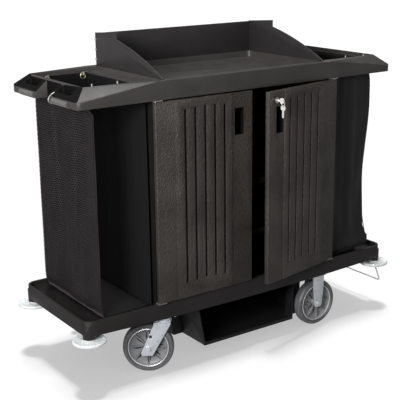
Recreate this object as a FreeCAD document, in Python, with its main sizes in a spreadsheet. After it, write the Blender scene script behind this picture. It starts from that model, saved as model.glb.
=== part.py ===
import FreeCAD, Part
import math
import os
import Sketcher

# Housekeeping cart: a long base deck on four eight-inch casters, a locking two-door cabinet in the middle,
# a linen bag hung from each end of the top deck, a hood round the top tray and a shelf under the base deck.
# Row frame: millimetres, +Z up, +X along the cart to the right, -Y towards the doors.  The origin is on the
# floor, under the middle of the decks.

doc = FreeCAD.newDocument("HousekeepingCart")
V = FreeCAD.Vector

# ---------------------------------------------------------------- driving dimensions
DIMENSIONS = [
    ("deck_length", 1521, "base deck, end to end"),
    ("deck_width", 526, "base deck, front to back"),
    ("deck_rim_top", 299, "top of the base deck's raised rim"),
    ("deck_floor_top", 279, "floor of the base deck"),
    ("deck_end_bottom", 243, "lower edge of the skirt at the ends"),
    ("deck_mid_bottom", 227, "lower edge of the skirt in the middle"),
    ("deck_corner", 45, "plan radius of the deck's corners"),
    ("deck_wall", 9, "thickness of the deck's rim and skirt"),
    ("deck_floor_thick", 6, "thickness of the deck's floor"),
    ("pad_bottom", 231, "underside of the caster pads"),
    ("top_length", 1513, "top deck, tip to tip"),
    ("top_width", 539, "top deck, front to back"),
    ("top_bottom", 1090, "lower edge of the top deck"),
    ("top_rim", 1160, "level of the top deck's rim"),
    ("tip_top", 1115, "top of the hand grips at the ends"),
    ("mouth_outer", 703, "outer edge of a bag mouth, from the middle"),
    ("mouth_inner", 452, "inner edge of a bag mouth, from the middle"),
    ("mouth_half", 220, "half the width of a bag mouth"),
    ("tray_floor", 1135, "floor of the top tray"),
    ("cabinet_half", 445, "half the length of the cabinet"),
    ("panel_thick", 12, "cabinet side and back panels"),
    ("cabinet_front", 250, "front edge of the cabinet sides, from the middle"),
    ("shelf_low_ledge", 477, "ledge of the lower shelf"),
    ("shelf_pitch", 213, "step between two ledges"),
    ("shelf_thick", 18, "thickness of a shelf"),
    ("door_bottom", 304, "lower edge of the doors"),
    ("door_top", 1084, "upper edge of the doors"),
    ("door_thick", 25, "thickness of a door"),
    ("door_split", 4, "middle of the gap between the closed doors"),
    ("door_gap", 3, "gap between the closed doors"),
    ("hinge_inset", 8, "hinge line, from a door's outer edge"),
    ("hinge_front", 264.5, "hinge line, from the middle towards the front"),
    ("hinge_pin", 5, "radius of a hinge pin"),
    ("door_open", 11.5, "degrees that the right door stands open"),
    ("lock_height", 1050, "height of the lock"),
    ("lock_reach", 389, "lock, from the right door's hinge line"),
    ("wing_half", 389.5, "middle of a hood wing, from the middle"),
    ("wing_thick", 6, "thickness of the hood"),
    ("hood_top", 1290, "top of the hood's back panel"),
    ("caster_x_swivel", -402, "king pin line of the swivel casters"),
    ("caster_x_rigid", 386, "wheel centre line of the rigid casters"),
    ("caster_y", 226, "caster line, from the middle"),
    ("wheel_radius", 101.6, "radius of a tyre"),
    ("tyre_inner", 83, "radius of a wheel's rim"),
    ("tyre_width", 42, "width of a tyre"),
    ("caster_trail", 60, "king pin to axle"),
    ("swivel_rest", 145.3, "degrees from +X at which the swivel casters trail"),
    ("axle_radius", 6, "radius of an axle bolt"),
    ("fork_gap", 25, "half the gap between a fork's legs"),
    ("fork_steel", 5, "thickness of a fork"),
    ("bumper_x", 735, "bumper discs, from the middle"),
    ("bumper_y", 235, "bumper discs, from the middle"),
    ("bumper_radius", 65, "radius of a bumper disc"),
    ("bumper_level", 215, "middle of a bumper disc's height"),
    ("bag_floor", 284, "underside of a hung bag"),
    ("bag_wall", 3, "thickness of a bag's cloth, hems taken together"),
    ("bag_half", 231, "half the width of a bag below the mouth"),
    ("bag_outer", 678, "outer face of the left bag, from the middle"),
    ("bag_inner", 457, "inner face of a bag, from the middle"),
    ("tub_level", 45, "underside of the shelf under the deck"),
    ("tub_top", 245, "where that shelf bolts to the deck"),
    ("tub_wall", 4, "wall of that shelf"),
    ("tub_half", 222, "half the depth of that shelf"),
    ("wire_radius", 3, "radius of the wire bail"),
]

sheet = doc.addObject("Spreadsheet::Sheet", "Sizes")
for row, (word, number, note) in enumerate(DIMENSIONS, start=1):
    sheet.set(f"A{row}", note)
    sheet.set(f"B{row}", str(number))
    sheet.setAlias(f"B{row}", word)
doc.recompute()


class Size:
    """A number that remembers the spreadsheet expression it comes from."""

    def __init__(self, value, text=None):
        self.value = float(value)
        self.text = text or f"({value:.6g})"

    @staticmethod
    def of(other):
        return other if isinstance(other, Size) else Size(other)

    def join(self, other, sign, value):
        return Size(value, f"({self.text} {sign} {other.text})")

    def __add__(self, other):
        other = Size.of(other)
        return self.join(other, "+", self.value + other.value)

    def __sub__(self, other):
        other = Size.of(other)
        return self.join(other, "-", self.value - other.value)

    def __mul__(self, other):
        other = Size.of(other)
        return self.join(other, "*", self.value * other.value)

    def __truediv__(self, other):
        other = Size.of(other)
        return self.join(other, "/", self.value / other.value)

    def __radd__(self, other):
        return Size.of(other) + self

    def __rsub__(self, other):
        return Size.of(other) - self

    def __rmul__(self, other):
        return Size.of(other) * self

    def __neg__(self):
        return Size.of(0) - self


S = {word: Size(number, f"Sizes.{word}") for word, number, note in DIMENSIONS}
PARTS = []


# ---------------------------------------------------------------- helpers
def bind(target, path, size):
    """Ties a property to the spreadsheet."""
    target.setExpression(path, Size.of(size).text)


def place(target, x=0, y=0, z=0, axis=None, angle=0):
    """Gives an object its place, and a turn about one axis through its own origin."""
    turn = FreeCAD.Rotation(axis or V(0, 0, 1), Size.of(angle).value)
    target.Placement = FreeCAD.Placement(V(0, 0, 0), turn)
    for letter, size in zip("xyz", (x, y, z)):
        bind(target, f"Placement.Base.{letter}", size)
    if isinstance(angle, Size):
        bind(target, "Placement.Rotation.Angle", angle)
    return target


def block(name, xs, ys, zs):
    """A box from one range to the other along each axis."""
    solid = doc.addObject("Part::Box", name)
    for prop, (low, high) in zip(("Length", "Width", "Height"), (xs, ys, zs)):
        bind(solid, prop, Size.of(high) - low)
    return place(solid, xs[0], ys[0], zs[0])


def rod(name, radius, low, high, x=0, y=0, z=0, axis="Z"):
    """A cylinder along one axis, from low to high on it."""
    turns = {"Z": (V(0, 0, 1), 0), "X": (V(0, 1, 0), 90), "Y": (V(1, 0, 0), -90)}
    spot = {"X": x, "Y": y, "Z": z}
    spot[axis] = low
    solid = doc.addObject("Part::Cylinder", name)
    bind(solid, "Radius", radius)
    bind(solid, "Height", Size.of(high) - low)
    return place(solid, spot["X"], spot["Y"], spot["Z"], *turns[axis])


def fuse(name, *solids):
    """One solid made of several."""
    joined = doc.addObject("Part::MultiFuse", name)
    joined.Shapes = list(solids)
    return joined


def cut(name, base, *tools):
    """The base less every tool."""
    result = doc.addObject("Part::Cut", name)
    result.Base = base
    result.Tool = tools[0] if len(tools) == 1 else fuse(name + "_tools", *tools)
    return result


def group(name, *solids):
    """Separate solids kept together as one node."""
    result = doc.addObject("Part::Compound", name)
    result.Links = list(solids)
    return result


def new_body(name):
    return doc.addObject("PartDesign::Body", name)


def new_sketch(body, name, plane, offset=0):
    """A sketch on one of the body's own origin planes, moved along that plane's normal."""
    sketch = body.newObject("Sketcher::SketchObject", name)
    origin_plane = [item for item in body.Origin.OriginFeatures if item.Role == plane + "_Plane"][0]
    sketch.AttachmentSupport = [(origin_plane, "")]
    sketch.MapMode = "FlatFace"
    bind(sketch, "AttachmentOffset.Base.z", offset)
    return sketch


def fix_point(sketch, geometry, end, point, tag):
    """Holds a point at its two bound coordinates."""
    for letter, kind, size in zip("uv", ("DistanceX", "DistanceY"), point):
        size = Size.of(size)
        index = sketch.addConstraint(Sketcher.Constraint(kind, -1, 1, geometry, end, size.value))
        sketch.renameConstraint(index, f"{letter}{tag}")
        bind(sketch, f"Constraints.{letter}{tag}", size)


def outline(sketch, corners):
    """A closed outline; a corner with a third value starts an arc that passes through that point."""
    first = sketch.GeometryCount
    count = len(corners)
    spots = [V(Size.of(c[0]).value, Size.of(c[1]).value, 0) for c in corners]
    for i, corner in enumerate(corners):
        start, end = spots[i], spots[(i + 1) % count]
        if len(corner) == 3:
            middle = V(Size.of(corner[2][0]).value, Size.of(corner[2][1]).value, 0)
            sketch.addGeometry(Part.Arc(start, middle, end), False)
        else:
            sketch.addGeometry(Part.LineSegment(start, end), False)
    # An arc is kept with its turning sense, so its own start may be the outline's later point.
    ends = []
    for i in range(count):
        edge = sketch.Geometry[first + i]
        forward = edge.StartPoint.distanceToPoint(spots[i]) < 1e-6
        ends.append((1, 2) if forward else (2, 1))
    for i in range(count):
        after = (i + 1) % count
        meeting = (first + i, ends[i][1], first + after, ends[after][0])
        sketch.addConstraint(Sketcher.Constraint("Coincident", *meeting))
        fix_point(sketch, first + i, ends[i][0], corners[i], f"{first + i}")
        if len(corners[i]) == 3:
            height = sketch.Geometry[first + i].Center.y
            sketch.addConstraint(Sketcher.Constraint("DistanceY", -1, 1, first + i, 3, height))
    return sketch


def ring(sketch, u, v, radius):
    """A circle held by its centre and radius."""
    number = sketch.GeometryCount
    centre = V(Size.of(u).value, Size.of(v).value, 0)
    sketch.addGeometry(Part.Circle(centre, V(0, 0, 1), Size.of(radius).value), False)
    fix_point(sketch, number, 3, (u, v), f"c{number}")
    index = sketch.addConstraint(Sketcher.Constraint("Radius", number, Size.of(radius).value))
    sketch.renameConstraint(index, f"r{number}")
    bind(sketch, f"Constraints.r{number}", radius)
    return sketch


def rectangle(sketch, us, vs):
    return outline(sketch, [(us[0], vs[0]), (us[1], vs[0]), (us[1], vs[1]), (us[0], vs[1])])


def pad(body, name, sketch, length, reverse=False):
    feature = body.newObject("PartDesign::Pad", name)
    feature.Profile = sketch
    feature.Reversed = reverse
    bind(feature, "Length", length)
    return feature


def pocket(body, name, sketch, length, reverse=False):
    """A pocket, checked to take something away."""
    doc.recompute()
    before = body.Shape.Volume
    feature = body.newObject("PartDesign::Pocket", name)
    feature.Profile = sketch
    feature.Reversed = reverse
    bind(feature, "Length", length)
    doc.recompute()
    if feature.Shape.Volume > before - 1:
        raise RuntimeError(f"{name} cuts nothing")
    return feature


def soften(body, name, radius, wanted):
    """Rounds the edges that the test picks."""
    doc.recompute()
    base = body.Tip
    names = [f"Edge{i}" for i, edge in enumerate(base.Shape.Edges, start=1) if wanted(edge)]
    feature = body.newObject("PartDesign::Fillet", name)
    feature.Base = (base, names)
    bind(feature, "Radius", radius)
    return feature


def runs_along(axis):
    """A test for straight edges along one axis."""
    def test(edge):
        line = edge.Vertexes[-1].Point - edge.Vertexes[0].Point
        return edge.Length > 0.1 and abs(abs(line.dot(axis)) - edge.Length) < 1e-4
    return test


def slab(name, xs, ys, zs, corner):
    """A box with rounded upright edges."""
    body = new_body(name)
    sketch = rectangle(new_sketch(body, name + "_plan", "XY", zs[0]), xs, ys)
    pad(body, name + "_pad", sketch, Size.of(zs[1]) - zs[0])
    soften(body, name + "_corners", corner, runs_along(V(0, 0, 1)))
    return body


def prism(name, plane, corners, low, high):
    """A pad of an outline between two levels along +X, +Y or +Z."""
    body = new_body(name)
    if plane == "XZ":
        sketch = outline(new_sketch(body, name + "_outline", plane, -Size.of(high)), corners)
    else:
        sketch = outline(new_sketch(body, name + "_outline", plane, low), corners)
    pad(body, name + "_pad", sketch, Size.of(high) - low)
    return body


def spun(name, profile, axis="Z"):
    """A solid of revolution about its own Z axis, from (radius, height) corners."""
    body = new_body(name)
    sketch = outline(new_sketch(body, name + "_section", "XZ"), profile)
    feature = body.newObject("PartDesign::Revolution", name + "_turn")
    feature.Profile = sketch
    feature.ReferenceAxis = (sketch, ["V_Axis"])
    feature.Angle = 360
    return body


def part(node, solid):
    """Names a finished piece; its node goes to its own file."""
    solid.Label = node
    PARTS.append(solid)
    return solid


SIDES = (("front", -1), ("rear", 1))
ENDS = (("left", -1), ("right", 1))

# ---------------------------------------------------------------- base deck
deck_x = S["deck_length"] / 2
deck_y = S["deck_width"] / 2
rim_top = S["deck_rim_top"]
floor_top = S["deck_floor_top"]
floor_bottom = floor_top - S["deck_floor_thick"]


def build_base_deck():
    """Shallow tray with a bellied skirt, ribs and pads below, a door sill and bored bosses."""
    belly = [(-deck_x, S["deck_end_bottom"], (0, S["deck_mid_bottom"])),
             (deck_x, S["deck_end_bottom"]), (deck_x, rim_top), (-deck_x, rim_top)]
    shell = prism("deck_shell", "XZ", belly, -deck_y, deck_y)
    soften(shell, "deck_shell_corners", S["deck_corner"], runs_along(V(0, 0, 1)))
    wall = S["deck_wall"]
    inner_corner = S["deck_corner"] - wall
    xs = (wall - deck_x, deck_x - wall)
    ys = (wall - deck_y, deck_y - wall)
    recess = slab("deck_recess", xs, ys, (floor_top, rim_top + 10), inner_corner)
    hollow = slab("deck_hollow", xs, ys, (S["deck_mid_bottom"] - 10, floor_bottom), inner_corner)
    tray = cut("deck_tray", shell, recess, hollow)

    sill_x = S["cabinet_half"] - S["panel_thick"] - 1
    added = [block("deck_sill", (-sill_x, sill_x), (3 - deck_y, 28 - deck_y), (floor_bottom, rim_top))]
    rib_bottom = S["tub_top"]
    rib_half = 3
    for i, y in enumerate((-110, 110)):
        ribs = block(f"deck_long_rib_{i}", (5 - deck_x, deck_x - 5), (y - rib_half, y + rib_half),
                     (rib_bottom, floor_top - 2))
        added.append(ribs)
    for i, (x, half) in enumerate(((-620, 3), (-258, 12), (46, 3), (350, 12), (620, 3))):
        added.append(block(f"deck_cross_rib_{i}", (x - half, x + half), (5 - deck_y, deck_y - 5),
                           (rib_bottom, floor_top - 2)))
    for side, sign in SIDES:
        for kind in ("swivel", "rigid"):
            x = S["caster_x_" + kind]
            y = sign * S["caster_y"]
            reach = (sign * (deck_y - 4), y - sign * 42)
            low, high = (reach[0], reach[1]) if sign < 0 else (reach[1], reach[0])
            added.append(block(f"deck_pad_{kind}_{side}", (x - 62, x + 62), (low, high),
                               (S["pad_bottom"], floor_top - 2)))
        for end, way in ENDS:
            added.append(rod(f"deck_boss_{side}_{end}", 24, S["bumper_level"] + 11, floor_top - 2,
                             way * S["bumper_x"], sign * S["bumper_y"]))
    return fuse("deck_solid", tray, *added)


def caster_bolt_places():
    """Every caster bolt: four to a plate."""
    spots = []
    for side, sign in SIDES:
        for kind in ("swivel", "rigid"):
            for dx in (-43, 43):
                for dy in (-17, 17):
                    spots.append((S["caster_x_" + kind] + dx, sign * S["caster_y"] + dy))
    return spots


def bumper_places():
    return [(side, end, way * S["bumper_x"], sign * S["bumper_y"])
            for side, sign in SIDES for end, way in ENDS]


bolt_radius = 4
bolt_top = 262
bumper_bolt = 6
fit = 0.05
plate_thick = 4
plate_bottom = S["pad_bottom"] - plate_thick

deck_holes = [rod(f"deck_caster_hole_{i}", bolt_radius + fit, 200, bolt_top + 1, x, y)
              for i, (x, y) in enumerate(caster_bolt_places())]
deck_holes += [rod(f"deck_bumper_hole_{side}_{end}", bumper_bolt + fit, 200, bolt_top + 1, x, y)
               for side, end, x, y in bumper_places()]
tub_bolts = [(-256, y) for y in (-190, -100, 100, 190)] + [(356, y) for y in (-150, -50, 50, 150)]
tub_bolt = 3
deck_holes += [rod(f"deck_tub_hole_{i}", tub_bolt + fit, 230, bolt_top + 1, x, y)
               for i, (x, y) in enumerate(tub_bolts)]
part("base_deck", cut("deck_drilled", build_base_deck(), *deck_holes))


# ---------------------------------------------------------------- top deck
top_x = S["top_length"] / 2
top_y = S["top_width"] / 2
top_low = S["top_bottom"]
rim = S["top_rim"]


def corner_wedge(name, way, sign):
    """What is planed off a top corner, so that the rim falls away towards the hand grips."""
    slope = 0.75
    over = 10
    body = new_body(name)
    sections = []
    for tag, x, level in (("tip", top_x + 4, S["tip_top"] - 2), ("root", Size.of(430), rim - 0.5)):
        sketch = new_sketch(body, f"{name}_{tag}", "YZ", way * x)
        points = [(sign * (top_y + over), level - over * slope),
                  (sign * (top_y - (rim + 5 - level) / slope), rim + 5),
                  (sign * (top_y + over), rim + 5)]
        sections.append(outline(sketch, points))
    loft = body.newObject("PartDesign::AdditiveLoft", name + "_loft")
    loft.Profile = sections[0]
    loft.Sections = [sections[1]]
    loft.Ruled = True
    return body


def build_top_deck():
    """Moulded top: two bag mouths with hand grips outside them, and a tray with two cup wells."""
    side_view = [(-top_x, top_low), (top_x, top_low), (top_x, S["tip_top"]), (S["mouth_outer"], rim),
                 (-S["mouth_outer"], rim), (-top_x, S["tip_top"])]
    shell = prism("top_shell", "XZ", side_view, -top_y, top_y)
    soften(shell, "top_shell_corners", 22, runs_along(V(0, 0, 1)))
    tools = []
    half = S["mouth_half"]
    for end, way in ENDS:
        for side, sign in SIDES:
            tools.append(corner_wedge(f"top_wedge_{end}_{side}", way, sign))

        def span(near, far):
            return (-Size.of(far), -Size.of(near)) if way < 0 else (near, far)

        tools.append(slab(f"top_mouth_{end}", span(S["mouth_inner"], S["mouth_outer"]), (-half, half),
                          (top_low - 5, rim + 5), 16))
        tools.append(block(f"top_ledge_{end}", span(396, S["mouth_inner"] + 30), (-half, half),
                           (rim - 14, rim + 5)))
        tools.append(block(f"top_notch_{end}", span(S["mouth_outer"] + 7, top_x + 5), (-55, 55),
                           (top_low - 5, rim + 5)))
        for side, sign in SIDES:
            hold = (82, 188) if sign > 0 else (-188, -82)
            tools.append(slab(f"top_hold_{end}_{side}", span(S["mouth_outer"] + 7, top_x - 19), hold,
                              (top_low - 5, rim + 5), 8))
            groove = (half + 6, top_y - 7) if sign > 0 else (7 - top_y, -half - 6)
            tools.append(block(f"top_channel_{end}_{side}", span(S["mouth_inner"], 690), groove,
                               (top_low - 5, top_low + 18)))
    cab_inner = S["cabinet_front"] - S["panel_thick"] - 2
    wells = [(-335, -165), (-335, -75)]
    well_depth = 30
    tools.append(slab("top_tray", (-382, 382), (-226, 238), (S["tray_floor"], rim + 5), 18))
    tools += [rod(f"top_well_{i}", 38, S["tray_floor"] - well_depth, S["tray_floor"] + 1, x, y)
              for i, (x, y) in enumerate(wells)]
    under = slab("top_under", (-430, 430), (9 - top_y, cab_inner), (top_low - 5, S["tray_floor"] - 6), 10)
    cups = [rod(f"top_cup_{i}", 42, top_low - 6, rim - 10, x, y) for i, (x, y) in enumerate(wells)]
    tools.append(cut("top_under_hollow", under, *cups))
    return cut("top_solid", shell, *tools)


part("top_deck", build_top_deck())

# ---------------------------------------------------------------- cabinet
cab_x = S["cabinet_half"]
cab_y = S["cabinet_front"]
panel = S["panel_thick"]
ledges = [S["shelf_low_ledge"] + i * S["shelf_pitch"] for i in range(3)]
for end, way in ENDS:
    def side_span(near, far):
        return (way * far, way * near) if way < 0 else (near, far)

    wall = block(f"side_wall_{end}", side_span(cab_x - panel, cab_x), (-cab_y, cab_y), (floor_top, top_low))
    strip_x = side_span(cab_x - panel - 12, cab_x - panel + 1)
    strips = [block(f"side_ledge_{end}_{i}", strip_x, (-222, 238), (level - 12, level))
              for i, level in enumerate(ledges)]
    part(f"cabinet_side_{end}", fuse(f"cabinet_side_{end}_solid", wall, *strips))

back_wall = block("back_wall", (panel - cab_x, cab_x - panel), (cab_y - panel, cab_y), (floor_top, top_low))
part("cabinet_back", back_wall)


def shelf(name, level):
    """A moulded shelf, hollow below."""
    half = cab_x - panel - 1
    body = new_body(name)
    sketch = rectangle(new_sketch(body, name + "_plan", "XY", level), (-half, half), (-222, 237))
    pad(body, name + "_pad", sketch, S["shelf_thick"])
    soften(body, name + "_corners", 6, runs_along(V(0, 0, 1)))
    hollow = new_sketch(body, name + "_hollow", "XY", level)
    for i in range(4):
        low = 16 - half + i * (half - 14) / 2
        rectangle(hollow, (low, low + (half - 14) / 2 - 8), (-214, 229))
    pocket(body, name + "_pocket", hollow, S["shelf_thick"] - 5, reverse=True)
    return body


part("shelf_lower", shelf("shelf_lower_body", ledges[0]))
part("shelf_upper", shelf("shelf_upper_body", ledges[1]))

# ---------------------------------------------------------------- hinges
hinge_x = cab_x - S["hinge_inset"]
pin_long = 18
for level, low, high, pin_low, pin_high in (
        ("lower", rim_top, rim_top + 3, rim_top + 2, S["door_bottom"] + pin_long),
        ("upper", top_low - 3, top_low, S["door_top"] - pin_long, top_low - 2)):
    plates = []
    for end, way in ENDS:
        xs = (cab_x - 34, cab_x + 3) if way > 0 else (-cab_x - 3, 34 - cab_x)
        strap_y = (-S["hinge_front"] - 9, 14 - S["hinge_front"])
        strap = block(f"hinge_strap_{level}_{end}", xs, strap_y, (low, high))
        pin = rod(f"hinge_pin_{level}_{end}", S["hinge_pin"], pin_low, pin_high, way * hinge_x,
                  -S["hinge_front"])
        plates.append(fuse(f"hinge_{level}_{end}", strap, pin))
    part(f"hinge_plates_{level}", group(f"hinge_plates_{level}_set", *plates))


# ---------------------------------------------------------------- doors
def door(name, way, width):
    """A door panel built about its own hinge line: five fluted grooves and a finger cut-out."""
    height = (S["door_bottom"], S["door_top"])
    half = S["door_thick"] / 2
    inset = S["hinge_inset"]

    def along(near, far):
        return (near, far) if way > 0 else (-Size.of(far), -Size.of(near))

    body = new_body(name)
    sketch = rectangle(new_sketch(body, name + "_plan", "XY", height[0]), along(-inset, width), (-half, half))
    pad(body, name + "_pad", sketch, height[1] - height[0])
    soften(body, name + "_edges", 7.9, runs_along(V(0, 0, 1)))
    relief = 2.5
    for tag, near, far in (("outer", -20, 76), ("inner", 338, 460)):
        step = rectangle(new_sketch(body, f"{name}_{tag}_step", "XZ", half), along(near, far),
                         (height[0] - 1, height[1] + 1))
        pocket(body, f"{name}_{tag}_relief", step, relief)
    groove_half = 5.5
    flutes = new_sketch(body, name + "_flutes", "XZ", half)
    low, high = height[0] + 61, height[1] - 38
    for i in range(5):
        u = way * (Size.of(122) + 45.4 * i)
        rise = abs(i - 2) * 3 - 3
        foot, head = low - rise, high - rise
        outline(flutes, [(u - groove_half, foot), (u + groove_half, foot),
                         (u + groove_half, head, (u, head + groove_half)), (u - groove_half, head)])
    pocket(body, name + "_flute_cut", flutes, 5)
    handle = rectangle(new_sketch(body, name + "_handle", "XZ", half + 2), along(width - 87, width - 44),
                       (height[1] - 165, height[1] - 60))
    pocket(body, name + "_handle_cut", handle, S["door_thick"] + 5)
    bores = ring(new_sketch(body, name + "_bore_low", "XY", height[0] - 1), 0, 0, S["hinge_pin"] + fit)
    pocket(body, name + "_bore_low_cut", bores, pin_long + 3, reverse=True)
    bores = ring(new_sketch(body, name + "_bore_high", "XY", height[1] + 1), 0, 0, S["hinge_pin"] + fit)
    pocket(body, name + "_bore_high_cut", bores, pin_long + 3)
    return body


left_width = hinge_x + S["door_split"] - S["door_gap"] / 2
right_width = hinge_x - S["door_split"] - S["door_gap"] / 2
part("left_door", place(door("left_door_body", 1, left_width), -hinge_x, -S["hinge_front"]))

right_door = door("right_door_body", -1, right_width)
lock_u = -S["lock_reach"]
lock_z = S["lock_height"]
lock_hole = ring(new_sketch(right_door, "lock_hole", "XZ", S["door_thick"]), lock_u, lock_z, 8 + fit)
pocket(right_door, "lock_hole_cut", lock_hole, S["door_thick"] * 2)


def on_right_door(solid):
    """Hangs a piece, built about the right door's hinge line, on the ajar door."""
    return place(solid, hinge_x, -S["hinge_front"], 0, V(0, 0, 1), S["door_open"])


part("right_door", on_right_door(right_door))

# ---------------------------------------------------------------- lock and keys
face = -S["door_thick"] / 2
barrel_out = face - 2.5
barrel_in = -face + 5
barrel = fuse("lock_barrel_solid", rod("lock_flange", 12, barrel_out, face + 2.45, lock_u, 0, lock_z, "Y"),
              rod("lock_barrel", 8, face, barrel_in, lock_u, 0, lock_z, "Y"))
barrel = cut("lock_barrel_bored", barrel,
             rod("lock_barrel_bore", 5.5 + fit, barrel_out - 1, barrel_in + 1, lock_u, 0, lock_z, "Y"))
part("lock_cylinder", on_right_door(group("lock_cylinder_hung", barrel)))

plug = rod("lock_plug_core", 5.5, barrel_out - 0.5, barrel_in + 4, lock_u, 0, lock_z, "Y")
key_slot = block("lock_key_slot", (lock_u - 1.3, lock_u + 1.3), (barrel_out - 2, face + 23),
                 (lock_z - 4, lock_z + 4))
part("lock_plug", on_right_door(group("lock_plug_hung", cut("lock_plug_slotted", plug, key_slot))))

cam_bar = block("lock_cam_bar", (lock_u - 7, lock_u + 7), (barrel_in + 0.5, barrel_in + 3.5),
                (lock_z - 58, lock_z + 8))
cam_bore = rod("lock_cam_bore", 5.5 + fit, barrel_in, barrel_in + 4, lock_u, 0, lock_z, "Y")
cam = cut("lock_cam_bored", cam_bar, cam_bore)
part("lock_cam", on_right_door(group("lock_cam_hung", cam)))

bow_radius = 11
bow_out = barrel_out - 22
bow_hole = 3
ring_radius = 9
ring_wire = 1
slack = bow_hole - ring_wire - 0.35


def key(name, blade, bow_centre, hole_centre):
    """A flat key standing in the door's own upright plane: a blade, a round bow and its hole."""
    bow = rod(name + "_bow", bow_radius, lock_u - 1, lock_u + 1, 0, bow_centre[0], bow_centre[1], "X")
    hole = rod(name + "_hole", bow_hole, lock_u - 2, lock_u + 2, 0, hole_centre[0], hole_centre[1], "X")
    return cut(name + "_solid", fuse(name + "_blank", blade, bow), hole)


blade = block("door_key_blade", (lock_u - 1, lock_u + 1), (bow_out, face + 22), (lock_z - 3.6, lock_z + 3.6))
hang_y = bow_out - 6
first_key = key("door_key", blade, (bow_out, lock_z), (hang_y, lock_z))
part("door_key", on_right_door(group("door_key_hung", first_key)))

loop = doc.addObject("Part::Torus", "key_ring_loop")
bind(loop, "Radius1", ring_radius)
bind(loop, "Radius2", ring_wire)
place(loop, lock_u, hang_y, lock_z - slack - ring_radius, V(1, 0, 0), 90)
part("key_ring", on_right_door(group("key_ring_hung", loop)))

spare_top = lock_z - 2 * ring_radius - 2 * slack
spare_centre = spare_top - 6
spare_blade = block("spare_key_blade", (lock_u - 1, lock_u + 1), (hang_y - 3.6, hang_y + 3.6),
                    (spare_centre - 38, spare_centre))
second_key = key("spare_key", spare_blade, (hang_y, spare_centre), (hang_y, spare_top))
part("spare_key", on_right_door(group("spare_key_hung", second_key)))

strike_face = S["door_thick"] / 2 - S["hinge_front"]
strike = block("strike_plate_block", (-26, left_width - hinge_x - 8), (strike_face, strike_face + 3),
               (lock_z - 16, lock_z + 16))
part("strike_plate", strike)

# ---------------------------------------------------------------- hood
wing_x = S["wing_half"]
wing_t = S["wing_thick"] / 2
wing_foot = rim
for end, way in ENDS:
    crest = [(-247, wing_foot), (251, wing_foot), (251, S["hood_top"] + 2), (84, S["hood_top"] + 15),
             (84, S["hood_top"] - 13, (-92, S["hood_top"] - 62)), (-247, wing_foot + 3)]
    centre = way * wing_x
    wing = prism(f"hood_wing_{end}_body", "YZ", crest, centre - wing_t, centre + wing_t)
    part(f"hood_wing_{end}", wing)
panel_x = wing_x - wing_t
part("hood_back", block("hood_back_panel", (-panel_x, panel_x), (245, 251), (wing_foot, S["hood_top"])))
screws = []
for end, way in ENDS:
    for i, z in enumerate((1185, 1225, 1265)):
        out = way * (wing_x + wing_t)
        reach = (out, out + 2.5) if way > 0 else (out - 2.5, out)
        shank = (out - 18, out + 1) if way > 0 else (out - 1, out + 18)
        head = rod(f"hood_screw_head_{end}_{i}", 5, *reach, 0, 248, z, "X")
        screws.append(fuse(f"hood_screw_{end}_{i}", head,
                           rod(f"hood_screw_shank_{end}_{i}", 1.5, *shank, 0, 248, z, "X")))
part("hood_screws", group("hood_screw_set", *screws))


# ---------------------------------------------------------------- bags, hooks and grommets
eye_z = 1131
eye_radius_cloth = 9
peg_radius = 4
peg_z = eye_z + 4
peg_tops = {"front": rim + 6, "rear": rim - 13}
neck_half = S["mouth_half"] - 4
PEGS = [(end, way, side, sign, way * x) for end, way in ENDS for side, sign, spots in
        (("front", -1, (556, 660)), ("rear", 1, (476, 632))) for x in spots]


def bag(end, way, outer, open_front):
    """A bag hung in its mouth: a body wider than the mouth, a neck through it and an open top."""
    def span(near, far):
        return (-Size.of(far), -Size.of(near)) if way < 0 else (near, far)

    inner = S["bag_inner"]
    half = S["bag_half"]
    skin = S["bag_wall"]
    neck_out = 696
    hem = rim - 14
    shoulder = top_low - 4
    lower = slab(f"bag_{end}_lower", span(inner, outer), (-half, half), (S["bag_floor"], shoulder), 12)
    neck = slab(f"bag_{end}_neck", span(inner, neck_out), (-neck_half, neck_half), (shoulder - 3, hem), 5)
    outside = fuse(f"bag_{end}_outside", lower, neck)
    tools = [slab(f"bag_{end}_room", span(inner + skin, outer - skin), (skin - half, half - skin),
                  (S["bag_floor"] + skin, shoulder - skin), 9),
             slab(f"bag_{end}_throat", span(inner + skin, Size.of(neck_out) - skin),
                  (skin - neck_half, neck_half - skin), (shoulder - 9, hem + 5), 1.5)]
    if open_front:
        tools.append(block(f"bag_{end}_front", span(inner + skin, Size.of(outer) - 24),
                           (-half - 5, skin + 2 - half), (S["bag_floor"] + 22, shoulder - 30)))
    for i, (here, _, side, sign, x) in enumerate(PEGS):
        if here == end:
            reach = (-neck_half - 5, 10 - neck_half) if sign < 0 else (neck_half - 10, neck_half + 5)
            tools.append(rod(f"bag_{end}_eye_{i}", eye_radius_cloth, *reach, x, 0, eye_z, "Y"))
    return cut(f"bag_{end}_solid", outside, *tools)


part("bag_left", bag("left", -1, S["bag_outer"], True))
part("bag_right", bag("right", 1, S["bag_outer"] + 14, False))

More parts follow.
